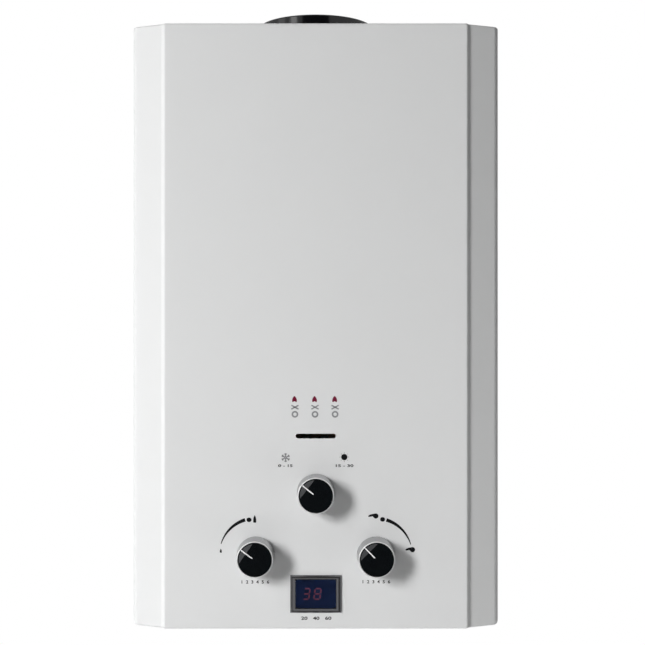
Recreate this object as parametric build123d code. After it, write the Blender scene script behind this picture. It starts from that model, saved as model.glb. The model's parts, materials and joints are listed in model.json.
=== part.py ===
from build123d import *
import math
import os

# A wall-hung gas water heater in millimetres. +Z is up, the wall is the plane y = 0, the front faces -Y,
# and the origin lies midway between the two hanging holes on the wall plane.

# Shared by many pieces: how far a cutting shape reaches past its piece, running play, and standing gap
CUT = 1.0
RUN = 0.05
SEAT_GAP = 0.3

# Cabinet
CASE_WIDTH = 330.0
CASE_HEIGHT = 540.0
CASE_DEPTH = 150.0
HANG_DROP = 38.0
COVER_SHEET = 1.0
PLATE_SHEET = 1.2
WALL_GAP = 1.5
FACET_RUN = 30.0
JOGGLE_WIDTH = 3.0
JOGGLE_DEPTH = 3.5
JOGGLE_BEND = 2.4
FACET_ANGLE = 20.0
SIDE_BEND = 7.0
EDGE_BEND = 2.0
HEAD_BEND = 2.5
FOOT_BEND = 5.5
FRONT_LIP = 18.0
SIDE_LIP = 12.0
LOUVRE_COUNT = 8
LOUVRE_PITCH = 12.0
LOUVRE_LENGTH = 80.0
LOUVRE_HEIGHT = 3.0
LOUVRE_DEPTH = 4.0
LOUVRE_SHEET = 1.3
TOUCH = 0.01
LOUVRE_TOP_DROP = 236.0
LOUVRE_BACK = 36.0

# Back plate
PLATE_FLANGE = 18.0
HANG_SPACING = 220.0
HANG_HOLE_R = 4.0
LOWER_INSET = 20.0
LOWER_RISE = 82.0
LOWER_HOLE_R = 3.5
RIB_SPACING = 150.0
RIB_WIDTH = 12.0
RIB_DEPTH = 3.0
RIB_SLOPE = 2.4
RIB_TOP_DROP = 95.0
RIB_FOOT_RISE = 175.0
COVER_SCREW_R = 2.0
COVER_SCREW_HEAD_R = 3.6
COVER_SCREW_HEAD = 1.8
COVER_SCREW_LENGTH = 6.0
COVER_SCREW_SETBACK = 10.0
COVER_SCREW_DROP = 40.0
COVER_SCREW_RISE = 85.0

# Flue collar and draft hood
FLUE_R = 55.0
FLUE_WALL = 1.2
FLUE_SETBACK = 72.0
FLUE_RISE = 14.0
FLUE_FLANGE_R = 60.0
FLUE_FLANGE = 1.0
FLUE_NOTCH_CLEARANCE = 11.0
HOOD_SHEET = 1.0
HOOD_TOP_WIDTH = 134.0
HOOD_TOP_DEPTH = 124.0
HOOD_TOP_DROP = 16.0
HOOD_SKIRT = 14.0
RELIEF_WIDTH = 110.0
RELIEF_HEIGHT = 16.0
RELIEF_DROP = 30.0

# Heat exchanger, chamber and coil
EXCHANGER_WIDTH = 190.0
EXCHANGER_DEPTH = 92.0
EXCHANGER_REAR = 20.0
EXCHANGER_TOP_DROP = 98.0
EXCHANGER_HEIGHT = 67.0
COPPER_SHEET = 1.0
SHELL_CORNER = 8.0
FIN_COUNT = 16
FIN_SHEET = 0.8
FIN_HEIGHT = 52.0
FIN_SIDE_GAP = 12.5
FIN_EDGE_GAP = 0.5
TUBE_R = 7.5
TUBE_COUNT = 4
TUBE_PITCH = 21.0
TUBE_STUB = 8.0
VIEW_WIDTH = 44.0
VIEW_HEIGHT = 14.0
COIL_R = 6.0
COIL_BEND = 13.0
COIL_GAP = 1.0
COIL_SIDE_GAP = 4.0
COIL_CLIMBS = (7.2, 19.2, 27.6, 42.0, 51.6)
COIL_RISER_GAP = 2.0
COIL_LEAD = 4.0
COIL_LOW_RISE = 53.0
HOT_PIPE_LEAD = 7.0
HOT_PIPE_R = 7.5
HOT_PIPE_BEND = 15.0
HOT_OFFSET_RISE = 93.0
HOT_OFFSET_RUN = 40.0

# Burner
TRAY_SHEET = 1.2
TRAY_RIM = 3.0
TRAY_LIP = 12.0
BURNER_RISE = 35.5
BAR_COUNT = 10
BAR_SIDE_GAP = 6.3
BAR_WIDTH = 13.0
BAR_NECK = 6.0
BAR_DEPTH = 82.0
BAR_HEAD = 4.0
PORT_WIDTH = 2.0
BAR_HEIGHT = 47.0
BAR_RISE = 2.0
BAR_SHOULDER = 2.0
PORT_DEPTH = 2.0
PORT_INSET = 4.0
VENTURI_DEPTH = 6.0
VENTURI_GAP = 0.3
VENTURI_R = 6.0
VENTURI_BORE_R = 4.5
VENTURI_LENGTH = 12.0
MANIFOLD_END_GAP = 1.0
MANIFOLD_SIZE = 13.0
MANIFOLD_BEND = 2.5
MANIFOLD_SETBACK = 124.0
JET_R = 3.0
JET_BORE_R = 0.7
JET_LENGTH = 3.0
JET_TIP = 1.0
MANIFOLD_EAR = 8.0
MANIFOLD_EAR_SHEET = 2.0
SEASON_FLANGE_WIDTH = 34.0
SEASON_FLANGE = 3.0
SEASON_BOSS = 10.0
SEASON_BOSS_R = 9.0

# Knobs
KNOB_BASE_R = 17.0
KNOB_FRONT_R = 16.0
KNOB_HEIGHT = 19.5
KNOB_GAP = 0.8
KNOB_WALL = 1.8
KNOB_HUB_R = 6.5
KNOB_RECESS = 3.0
CAP_R = 14.9
CAP_PROUD = 0.7
CAP_CHORD = 0.59
CAP_FALL = 1.2
CAP_EDGE = 0.4
POINTER_WIDTH = 1.4
POINTER_START = 0.17
POINTER_DEPTH = 0.4
SPINDLE_R = 4.0
SPINDLE_SEAT = 8.0
SPINDLE_HOLE_R = 9.0
SPINDLE_STOP = 1.0
KNOB_EDGE = 0.5
KNOB_FOOT = 1.0
SEASON_RISE = 121.5
VALVE_RISE = 65.7
VALVE_SPREAD = 53.4
SEASON_POINTER = 142.0
GAS_POINTER = 145.0
WATER_POINTER = 135.0

# Sight slot and display
SLOT_WIDTH = 36.0
SLOT_HEIGHT = 4.3
SLOT_RISE = 171.9
PANE_WIDTH = 48.0
PANE_HEIGHT = 14.0
PANE_THICK = 2.0
PANE_CLIP = 0.8
PANE_CLIP_RIM = 3.0
DISPLAY_WIDTH = 45.4
DISPLAY_HEIGHT = 33.3
DISPLAY_RISE = 31.4
DISPLAY_PROUD = 2.2
LENS_WIDTH = 36.0
LENS_HEIGHT = 25.7
LENS_THICK = 1.2
LENS_RECESS = 0.8
BEZEL_SKIRT_MARGIN = 2.0
BEZEL_SKIRT_DEPTH = 8.0
BEZEL_CORNER = 1.5
BEZEL_BEVEL = 1.2
BEZEL_BEVEL_WIDTH = 2.2
DIGIT_HEIGHT = 11.0
DIGIT_WIDTH = 6.0
DIGIT_STROKE = 1.3
DIGIT_THICK = 0.4
DIGIT_SPACING = 8.6
DIGIT_SHIFT = -3.5
DIGIT_SLANT = 8.0
BOARD_THICK = 1.6
BOARD_GAP = 0.2
BOARD_RIM = 2.0
LED_BLOCK_DEPTH = 5.0

# Gas and water sections
VALVE_SETBACK = 97.0
BODY_DEPTH = 46.0
BODY_HEIGHT = 50.0
BODY_BEND = 5.0
GAS_LEFT = -86.0
GAS_RIGHT = -24.0
GAS_CAVITY_R = 17.0
GAS_COVER_SHEET = 4.0
GAS_CORNER_SCREW_R = 1.8
GAS_SCREW_LENGTH = 7.0
SCREW_HEAD = 2.0
SEAT_R = 9.0
SEAT_WALL = 2.0
POPPET_SEAT_X = -38.9
SOLENOID_SEAT_X = -60.0
CAVITY_END_X = -32.0
BOSS_R = 12.0
BOSS_LENGTH = 20.0
SPINDLE_DEPTH = 3.0
NECK_WIDTH = 24.0
NECK_FOOT_WIDTH = 38.0
NECK_FOOT_SHEET = 4.0
NECK_BEND = 3.0
NECK_INSET = 1.0
GAS_SCREW_INSET = 6.0
SOLENOID_R = 11.0
SOLENOID_LENGTH = 34.0
PLUNGER_R = 3.5
PLUNGER_DISC_R = 12.0
PLUNGER_DISC = 3.0
PLUNGER_TRAVEL = 2.5
SOLENOID_END = 2.5
SOLENOID_EDGE = 1.0
PLUNGER_STOP = 1.0
WATER_LEFT = 34.0
DISC_R = 34.0
DISC_THICK = 8.0
OUTLET_BOSS = 4.0
OUTLET_BOSS_R = 10.0
DIAPHRAGM_THICK = 1.5
WATER_COVER_THICK = 8.5
WATER_COVER_EDGE = 2.0
WATER_CAVITY_R = 24.0
WATER_CAVITY_DEPTH = 6.0
GLAND_R = 9.0
GLAND_LENGTH = 12.0
DISC_BOLTS = 6
DISC_BOLT_R = 1.8
BOLT_HEAD = 2.5
DISC_BOLT_CIRCLE_R = 29.5
ROD_R = 3.0
ROD_PLATE_R = 18.0
ROD_PLATE = 2.0
ROD_TRAVEL = 3.0
POPPET_R = 11.5
POPPET_THICK = 2.5
SPRING_R = 6.5
SPRING_WIRE = 1.2
COLLAR_R = 7.0
COLLAR_LENGTH = 3.0
COLLAR_X = -6.0
SWITCH_LENGTH = 20.0
SWITCH_HEIGHT = 10.0
SWITCH_DEPTH = 6.5
SWITCH_EAR = 2.0
SWITCH_EAR_SHEET = 1.2
LEVER_PIVOT_RISE = 14.8
LEVER_ARM = 10.0
LEVER_OFFSET = 1.8
LEVER_BARREL_R = 1.4
LEVER_PIN_R = 0.8
LEVER_SHEET = 0.6
LEVER_WIDTH = 5.0
ROLLER_R = 1.5

# Unions, drain and pipe ends
UNION_Y = -88.0
BATTERY_GAP = 12.7
COLD_UNION_X = 60.0
THREAD_R = 10.48
UNION_BORE_R = 7.0
STUB_DROP = 14.0
UNION_HEX = 27.0
UNION_HEX_HEIGHT = 10.0
INLET_BOSS_R = 15.0
INLET_BOSS_LENGTH = 12.0
DRAIN_X = 46.0
DRAIN_Y = -110.0
DRAIN_HEAD_R = 7.0
DRAIN_HEAD = 11.0
DRAIN_GRIP_R = 8.5
DRAIN_GRIP = 7.7
DRAIN_STEM_R = 4.0
DRAIN_STEM = 10.0

# Battery box
CELL_R = 16.6
CELL_LENGTH = 58.0
CELL_NUB_R = 4.5
CELL_NUB = 2.5
BOX_WALL = 1.4
BOX_CLEARANCE = 0.4
BOX_FRONT = 131.0
EAR_INSET = 10.0
EAR_SHEET = 3.0
EAR_HEIGHT = 14.0
LID_THICK = 2.5
LID_GAP = 0.3
LID_SIDE_GAP = 0.8
HINGE_PIN_R = 1.2
HINGE_R = 2.6
HINGE_KNUCKLE = 12.0
HINGE_INSET = 4.0
LID_GRIPS = 3
GRIP_INSET = 4.5
GRIP_PITCH = 3.0
GRIP_LENGTH = 24.0
GRIP_WIDTH = 1.2
GRIP_DEPTH = 0.6
CONTACT_THICK = 0.5
CONTACT_SIZE = 12.0

# Ignition parts and thermostats
MODULE_WIDTH = 46.0
MODULE_HEIGHT = 82.0
MODULE_DEPTH = 28.0
MODULE_SIDE_GAP = 3.0
MODULE_RISE = 148.0
MODULE_BEND = 3.0
BLADE_COUNT = 4
BLADE_PITCH = 10.0
BLADE_WIDTH = 4.0
BLADE_LENGTH = 7.0
ELECTRODE_R = 3.5
ELECTRODE_WIRE_R = 1.0
ELECTRODE_BACK = 6.0
ELECTRODE_LENGTH = 14.0
ELECTRODE_TIP = 20.0
ELECTRODE_TAIL = 6.0
ELECTRODE_RIM = 4.0
ELECTRODE_PLATE = 6.0
SPARK_XS = (-46.0, -34.0)
SENSOR_X = 40.0
ELECTRODE_RISE = 9.0
BRACKET_SHEET = 1.5
THERMOSTAT_R = 8.0
THERMOSTAT_HEIGHT = 7.0
THERMOSTAT_TAB = 5.0
THERMOSTAT_RIM = 1.0
THERMOSTAT_BLADE = 5.0
THERMOSTAT_INSET = 2.0
THERMOSTAT_X = 60.0
STRAP_WIDTH = 60.0
STRAP_HEIGHT = 30.0
STRAP_FOOT = 10.0
STRAP_LOW_RISE = 23.0
STRAP_HIGH_DROP = 35.0
ARM_HEIGHT = 26.0
ARM_FOOT = 16.0
ARM_XS = (-48.0, 56.0)
SHELF_REACH = 16.0
SHELF_FOOT = 14.0

# Places worked out from the sizes above
TOP = HANG_DROP
BOTTOM = TOP - CASE_HEIGHT
FRONT = -CASE_DEPTH
SIDE = CASE_WIDTH / 2
PANEL_WIDTH = CASE_WIDTH - 2 * FACET_RUN
LOWER_SPACING = CASE_WIDTH - 2 * LOWER_INSET
COVER_SCREW_ZS = (TOP - COVER_SCREW_DROP, BOTTOM + COVER_SCREW_RISE)
SEASON_Z = BOTTOM + SEASON_RISE
VALVE_Z = BOTTOM + VALVE_RISE
SLOT_Z = BOTTOM + SLOT_RISE
DISPLAY_Z = BOTTOM + DISPLAY_RISE
INNER_FRONT = FRONT + COVER_SHEET
INNER_SIDE = SIDE - COVER_SHEET
PLATE_FRONT = -PLATE_SHEET
NOTCH_R = FLUE_R + FLUE_NOTCH_CLEARANCE
HOOD_TOP = TOP - HOOD_TOP_DROP
EXCHANGER_TOP = TOP - EXCHANGER_TOP_DROP
EXCHANGER_BOTTOM = EXCHANGER_TOP - EXCHANGER_HEIGHT
CHAMBER_BOTTOM = SEASON_Z + BURNER_RISE
ELECTRODE_Z = CHAMBER_BOTTOM + ELECTRODE_RISE
EXCHANGER_Y = -EXCHANGER_REAR - EXCHANGER_DEPTH / 2
EXCHANGER_FRONT = -EXCHANGER_REAR - EXCHANGER_DEPTH
TUBE_END = EXCHANGER_WIDTH / 2 + TUBE_STUB
COIL_SIDE = EXCHANGER_WIDTH / 2 + COIL_SIDE_GAP + COIL_R
COIL_LOW_Z = CHAMBER_BOTTOM + COIL_LOW_RISE
HOT_PIPE_X = TUBE_END + HOT_PIPE_BEND + HOT_PIPE_LEAD
HOT_OFFSET_Z = CHAMBER_BOTTOM + HOT_OFFSET_RISE
FIN_PITCH = (EXCHANGER_WIDTH - 2 * FIN_SIDE_GAP) / (FIN_COUNT - 1)
BAR_PITCH = (EXCHANGER_WIDTH - 2 * TRAY_RIM - BAR_WIDTH - 2 * BAR_SIDE_GAP) / (BAR_COUNT - 1)
MANIFOLD_LENGTH = EXCHANGER_WIDTH - 2 * MANIFOLD_END_GAP
TUBE_Z = (EXCHANGER_TOP + EXCHANGER_BOTTOM) / 2
TRAY_TOP = CHAMBER_BOTTOM
BAR_TOP = TRAY_TOP + BAR_RISE
BAR_BOTTOM = BAR_TOP - BAR_HEIGHT
TRAY_FRONT = EXCHANGER_FRONT - TRAY_RIM
VENTURI_Z = SEASON_Z
VALVE_Y = -VALVE_SETBACK
WATER_RIGHT = COIL_SIDE - COIL_BEND - COIL_LEAD - OUTLET_BOSS
BODY_TOP = VALVE_Z + BODY_HEIGHT / 2
BODY_BOTTOM = VALVE_Z - BODY_HEIGHT / 2
BODY_FRONT = VALVE_Y - BODY_DEPTH / 2
BODY_BACK = VALVE_Y + BODY_DEPTH / 2
BOSS_FRONT = BODY_FRONT - BOSS_LENGTH
BOSS_DROP = BODY_BOTTOM - INLET_BOSS_LENGTH
STUB_END = BOTTOM - STUB_DROP
LID_LEFT = -SIDE + FOOT_BEND + LID_SIDE_GAP
LID_RIGHT = LID_LEFT + 4 * CELL_R + 2 * BOX_WALL + 3 * BOX_CLEARANCE
GAS_UNION_X = LID_RIGHT + BATTERY_GAP + UNION_HEX / math.sqrt(3)
MODULE_X = -SIDE + MODULE_SIDE_GAP + MODULE_WIDTH / 2
KNOB_BASE = FRONT - KNOB_GAP
KNOB_FACE = KNOB_BASE - KNOB_HEIGHT + CAP_PROUD
MANIFOLD_BACK = -MANIFOLD_SETBACK
MANIFOLD_FRONT = MANIFOLD_BACK - MANIFOLD_SIZE

parts = {}


def box(x0, x1, y0, y1, z0, z1):
    """A block between two corners."""
    centre = ((x0 + x1) / 2, (y0 + y1) / 2, (z0 + z1) / 2)
    return Pos(*centre) * Box(abs(x1 - x0), abs(y1 - y0), abs(z1 - z0))


def rod_x(r, x0, x1, y, z):
    """A round bar along X."""
    return Pos((x0 + x1) / 2, y, z) * Rot(0, 90, 0) * Cylinder(r, abs(x1 - x0))


def rod_y(r, y0, y1, x, z):
    """A round bar along Y."""
    return Pos(x, (y0 + y1) / 2, z) * Rot(90, 0, 0) * Cylinder(r, abs(y1 - y0))


def rod_z(r, z0, z1, x, y):
    """A round bar along Z."""
    return Pos(x, y, (z0 + z1) / 2) * Cylinder(r, abs(z1 - z0))


def rounded_post(x0, x1, y0, y1, z0, z1, r):
    """A block with rounded upright edges."""
    outline = RectangleRounded(x1 - x0, y1 - y0, r)
    return Pos((x0 + x1) / 2, (y0 + y1) / 2, z0) * extrude(outline, z1 - z0)


def rounded_bar(x0, x1, y0, y1, z0, z1, r):
    """A block along X with its four long edges rounded."""
    bar = box(x0, x1, y0, y1, z0, z1)
    return fillet(bar.edges().filter_by(Axis.X), r)


def hexagon_z(flats, z0, z1, x, y):
    """An upright hexagon prism across its flats."""
    outline = RegularPolygon(flats / 2, 6, major_radius=False)
    return Pos(x, y, min(z0, z1)) * extrude(outline, abs(z1 - z0))


def revolved_y(profile, x, z):
    """A turned shape about a line along Y, from (radius, y) points."""
    face = make_face(Polyline(*[(r, y, 0) for r, y in profile], close=True))
    return Pos(x, 0, z) * revolve(face, Axis.Y)


def pipe(points, radius, bend):
    """A round pipe through points, with one bend radius."""
    line = FilletPolyline(*points, radius=bend)
    start = Plane(origin=line @ 0, z_dir=line % 0)
    return sweep(start * Circle(radius), line)


def group(shapes):
    """Separate solids kept in one node."""
    return Compound(children=list(shapes))


def save(name, shape):
    """Keep a finished piece under its node name."""
    parts[name] = shape


# Front cover
def cover_half_points():
    """Front cover outline seen from above, right half, from the middle of the panel to the wall."""
    joggle_x = PANEL_WIDTH / 2
    facet_x = joggle_x + JOGGLE_WIDTH
    facet_y = FRONT + JOGGLE_DEPTH
    corner_y = facet_y + (SIDE - facet_x) * math.tan(math.radians(FACET_ANGLE))
    return [(joggle_x, FRONT), (facet_x, facet_y), (SIDE, corner_y), (SIDE, -WALL_GAP)]


def cover_outline():
    """Closed outline of the cover seen from above, with its bends rounded."""
    right = cover_half_points()
    left = [(-x, y) for x, y in reversed(right)]
    face = make_face(Polyline(*(right + left), close=True))
    for bend_x in (PANEL_WIDTH / 2, PANEL_WIDTH / 2 + JOGGLE_WIDTH):
        corners = [v for v in face.vertices() if abs(abs(v.X) - bend_x) < TOUCH]
        face = fillet(corners, JOGGLE_BEND)
    corner_y = cover_half_points()[2][1]
    corners = [v for v in face.vertices() if abs(v.Y - corner_y) < TOUCH and abs(v.X) > SIDE - TOUCH]
    return fillet(corners, SIDE_BEND)


def end_edges(solid, z):
    """Edges round one end of the cover, without the one along the wall."""
    level = [e for e in solid.edges() if abs(e.center().Z - z) < TOUCH]
    return [e for e in level if e.bounding_box().size.Z < TOUCH and e.center().Y < -WALL_GAP - TOUCH]


def front_view_form(inset):
    """Depth-wise block in the cover's front view: small upper and larger lower corners."""
    block = box(-SIDE + inset, SIDE - inset, FRONT - CUT, CUT, BOTTOM + inset, TOP - inset)
    along = block.edges().filter_by(Axis.Y).sort_by(Axis.Z)
    block = fillet(along[:2], FOOT_BEND - inset)
    along = block.edges().filter_by(Axis.Y).sort_by(Axis.Z)
    return fillet(along[-2:], HEAD_BEND - inset)


def cover_inside():
    """The room inside the cover, open towards the wall."""
    room = Pos(0, 0, BOTTOM) * extrude(offset(cover_outline(), -COVER_SHEET), CASE_HEIGHT)
    room += box(-INNER_SIDE, INNER_SIDE, -WALL_GAP - 2 * COVER_SHEET, CUT, BOTTOM, TOP)
    return room & front_view_form(COVER_SHEET)


def front_cover():
    outer = Pos(0, 0, BOTTOM) * extrude(cover_outline(), CASE_HEIGHT)
    outer = fillet(end_edges(outer, TOP), EDGE_BEND)
    outer = fillet(end_edges(outer, BOTTOM), EDGE_BEND)
    shell = (outer & front_view_form(0)) - cover_inside()
    shell -= flue_notch(TOP - 2 * COVER_SHEET, TOP + COVER_SHEET)
    low, high = BOTTOM - COVER_SHEET, BOTTOM + 2 * COVER_SHEET
    shell -= box(-SIDE + SIDE_LIP, SIDE - SIDE_LIP, FRONT + FRONT_LIP, 0, low, high)
    x0, x1, y0, y1 = lid_outline()
    y1 += 2 * HINGE_R + 2 * LID_SIDE_GAP
    shell -= box(x0 - LID_SIDE_GAP, x1 + LID_SIDE_GAP, y0 - LID_SIDE_GAP, y1, low, high)
    slot = SlotOverall(SLOT_WIDTH, SLOT_HEIGHT)
    shell -= Pos(0, FRONT - CUT, SLOT_Z) * Rot(-90, 0, 0) * extrude(slot, COVER_SHEET + 2 * CUT)
    for x, z in knob_places():
        shell -= rod_y(SPINDLE_HOLE_R, FRONT - CUT, INNER_FRONT + CUT, x, z)
    half_w = bezel_skirt_width() / 2
    half_h = bezel_skirt_height() / 2
    shell -= box(
        -half_w, half_w, FRONT - CUT, INNER_FRONT + CUT, DISPLAY_Z - half_h, DISPLAY_Z + half_h
    )
    for side in (-1, 1):
        for z in louvre_heights():
            shell -= louvre_cut(side, z)
        for z in COVER_SCREW_ZS:
            shell -= rod_x(
                COVER_SCREW_R,
                side * (INNER_SIDE - CUT),
                side * (SIDE + CUT),
                -COVER_SCREW_SETBACK,
                z,
            )
    hoods = [louvre_hood(side, z) for side in (-1, 1) for z in louvre_heights()]
    for hood in hoods:
        shell += hood
    return shell


def flue_notch(z0, z1):
    """The cut that lets the flue pass, open towards the wall."""
    round_end = rod_z(NOTCH_R, z0, z1, 0, -FLUE_SETBACK)
    return round_end + box(-NOTCH_R, NOTCH_R, -FLUE_SETBACK, CUT, z0, z1)


def louvre_heights():
    """Upper edge of each side louvre."""
    return [TOP - LOUVRE_TOP_DROP - i * LOUVRE_PITCH for i in range(LOUVRE_COUNT)]


def louvre_cut(side, z):
    """The slot of one louvre through the side wall."""
    return box(
        side * (INNER_SIDE - CUT),
        side * (SIDE + CUT),
        -LOUVRE_BACK - LOUVRE_LENGTH,
        -LOUVRE_BACK,
        z - LOUVRE_HEIGHT,
        z,
    )


def louvre_hood(side, z):
    """The blade of one louvre, pressed inwards over its slot."""
    points = [
        (side * SIDE, z + TOUCH),
        (side * INNER_SIDE, z + TOUCH),
        (side * (INNER_SIDE - LOUVRE_DEPTH), z - LOUVRE_HEIGHT),
        (side * (INNER_SIDE - LOUVRE_DEPTH + LOUVRE_SHEET), z - LOUVRE_HEIGHT),
    ]
    face = Plane.XZ * make_face(Polyline(*points, close=True))
    return Pos(0, -LOUVRE_BACK, 0) * extrude(face, LOUVRE_LENGTH)


def knob_places():
    """Centre of each knob on the panel."""
    return [(0, SEASON_Z), (-VALVE_SPREAD, VALVE_Z), (VALVE_SPREAD, VALVE_Z)]


def cover_screws():
    screws = []
    for side in (-1, 1):
        for z in COVER_SCREW_ZS:
            y = -COVER_SCREW_SETBACK
            head = rod_x(COVER_SCREW_HEAD_R, side * SIDE, side * (SIDE + COVER_SCREW_HEAD), y, z)
            shank = rod_x(COVER_SCREW_R, side * (SIDE - COVER_SCREW_LENGTH), side * SIDE, y, z)
            screws.append(head + shank)
    return group(screws)


# Back plate
def back_plate():
    low, high = BOTTOM + COVER_SHEET, TOP - COVER_SHEET
    plate = box(-INNER_SIDE, INNER_SIDE, PLATE_FRONT, 0, low, high)
    for side in (-1, 1):
        inner = side * (INNER_SIDE - PLATE_SHEET)
        plate += box(inner, side * INNER_SIDE, -PLATE_FLANGE, 0, low, high)
    plate += box(-INNER_SIDE, INNER_SIDE, -PLATE_FLANGE, 0, high - PLATE_SHEET, high)
    plate -= rod_z(NOTCH_R, high - 2 * PLATE_SHEET, high + CUT, 0, -FLUE_SETBACK)
    for side in (-1, 1):
        x = side * RIB_SPACING / 2
        z1 = TOP - RIB_TOP_DROP
        z0 = BOTTOM + RIB_FOOT_RISE
        ridge = box(
            x - RIB_WIDTH / 2, x + RIB_WIDTH / 2, -RIB_DEPTH - PLATE_SHEET, PLATE_FRONT, z0, z1
        )
        ridge = chamfer(ridge.faces().sort_by(Axis.Y)[0].edges(), RIB_SLOPE)
        groove = box(
            x - RIB_WIDTH / 2 + 2 * PLATE_SHEET,
            x + RIB_WIDTH / 2 - 2 * PLATE_SHEET,
            -RIB_DEPTH,
            CUT,
            z0 + 2 * PLATE_SHEET,
            z1 - 2 * PLATE_SHEET,
        )
        plate = plate + ridge - groove
        plate -= rod_y(HANG_HOLE_R, PLATE_FRONT - CUT, CUT, side * HANG_SPACING / 2, 0)
        plate -= rod_y(LOWER_HOLE_R, PLATE_FRONT - CUT, CUT, side * LOWER_SPACING / 2, BOTTOM + LOWER_RISE)
        for z in COVER_SCREW_ZS:
            plate -= rod_x(
                COVER_SCREW_R,
                side * (INNER_SIDE - 2 * PLATE_SHEET),
                side * (INNER_SIDE + CUT),
                -COVER_SCREW_SETBACK,
                z,
            )
    return plate & front_view_form(COVER_SHEET)


# Flue collar and draft hood
def flue_collar():
    base = HOOD_TOP
    tube = rod_z(FLUE_R, base, TOP + FLUE_RISE, 0, -FLUE_SETBACK)
    tube += rod_z(FLUE_FLANGE_R, base, base + FLUE_FLANGE, 0, -FLUE_SETBACK)
    return tube - rod_z(FLUE_R - FLUE_WALL, base - CUT, TOP + FLUE_RISE + CUT, 0, -FLUE_SETBACK)


def hood_solid(inset, z_low, z_high):
    """The hood's form, drawn in by one sheet for its inside."""
    skirt_top = EXCHANGER_TOP + HOOD_SKIRT
    width, depth = EXCHANGER_WIDTH - 2 * inset, EXCHANGER_DEPTH - 2 * inset
    low = Pos(0, EXCHANGER_Y, skirt_top) * RectangleRounded(width, depth, SHELL_CORNER - inset)
    top = RectangleRounded(HOOD_TOP_WIDTH - 2 * inset, HOOD_TOP_DEPTH - 2 * inset, SHELL_CORNER - inset)
    high = Pos(0, -FLUE_SETBACK, z_high) * top
    cone = loft([low, high], ruled=True)
    skirt = Pos(0, EXCHANGER_Y, z_low) * extrude(
        RectangleRounded(width, depth, SHELL_CORNER - inset), skirt_top - z_low
    )
    return skirt + cone


def draft_hood():
    hood = hood_solid(0, EXCHANGER_TOP, HOOD_TOP)
    hood -= hood_solid(HOOD_SHEET, EXCHANGER_TOP - CUT, HOOD_TOP - HOOD_SHEET)
    hood -= rod_z(FLUE_R - FLUE_WALL, HOOD_TOP - HOOD_SHEET - CUT, HOOD_TOP + CUT, 0, -FLUE_SETBACK)
    relief_top = TOP - RELIEF_DROP
    hood -= box(
        -RELIEF_WIDTH / 2,
        RELIEF_WIDTH / 2,
        INNER_FRONT,
        -FLUE_SETBACK,
        relief_top - RELIEF_HEIGHT,
        relief_top,
    )
    return hood


# Heat exchanger, chamber and water pipes
def tube_ys():
    """Depth of each exchanger tube, from the wall forwards."""
    first = EXCHANGER_Y + TUBE_PITCH * (TUBE_COUNT - 1) / 2
    return [first - i * TUBE_PITCH for i in range(TUBE_COUNT)]


def copper_shell(z0, z1):
    """An upright copper box, open above and below."""
    half_w, half_d = EXCHANGER_WIDTH / 2, EXCHANGER_DEPTH / 2
    y0, y1 = EXCHANGER_Y - half_d, EXCHANGER_Y + half_d
    outer = rounded_post(-half_w, half_w, y0, y1, z0, z1, SHELL_CORNER)
    half_w -= COPPER_SHEET
    y0 += COPPER_SHEET
    y1 -= COPPER_SHEET
    return outer - rounded_post(-half_w, half_w, y0, y1, z0 - CUT, z1 + CUT, SHELL_CORNER - COPPER_SHEET)


def heat_exchanger():
    """Casing, fins and tubes, which are brazed together from separate sheets and tubes."""
    half_x = FIN_SHEET / 2
    half_d = EXCHANGER_DEPTH / 2 - COPPER_SHEET - FIN_EDGE_GAP
    y0, y1 = EXCHANGER_Y - half_d, EXCHANGER_Y + half_d
    fin = box(-half_x, half_x, y0, y1, TUBE_Z - FIN_HEIGHT / 2, TUBE_Z + FIN_HEIGHT / 2)
    casing = copper_shell(EXCHANGER_BOTTOM, EXCHANGER_TOP)
    tubes = [rod_x(TUBE_R, -TUBE_END, TUBE_END, y, TUBE_Z) for y in tube_ys()]
    for tube in tubes:
        fin -= tube
        casing -= tube
    fins = [Pos((i - (FIN_COUNT - 1) / 2) * FIN_PITCH, 0, 0) * fin for i in range(FIN_COUNT)]
    return group([casing, *fins, *tubes])


def return_bends():
    """Half-round bends: the first and last pair on the left, the middle pair on the right."""
    bends = []
    ys = tube_ys()
    for i in range(TUBE_COUNT - 1):
        side = -1 if i % 2 == 0 else 1
        middle = (ys[i] + ys[i + 1]) / 2
        torus = Torus(TUBE_PITCH / 2, TUBE_R)
        reach = TUBE_PITCH + 2 * TUBE_R
        keep = Pos(side * reach / 2, 0, 0) * Box(reach, 2 * reach, reach)
        bends.append(Pos(side * TUBE_END, middle, TUBE_Z) * (torus & keep))
    return group(bends)


def combustion_chamber():
    shell = copper_shell(CHAMBER_BOTTOM, EXCHANGER_BOTTOM)
    shell -= box(
        -VIEW_WIDTH / 2,
        VIEW_WIDTH / 2,
        EXCHANGER_FRONT - CUT,
        EXCHANGER_FRONT + 2 * COPPER_SHEET,
        SLOT_Z - VIEW_HEIGHT / 2,
        SLOT_Z + VIEW_HEIGHT / 2,
    )
    for x in (*SPARK_XS, SENSOR_X):
        shell -= rod_y(
            ELECTRODE_R, EXCHANGER_FRONT - CUT, EXCHANGER_FRONT + 2 * COPPER_SHEET, x, ELECTRODE_Z
        )
    return shell


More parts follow.
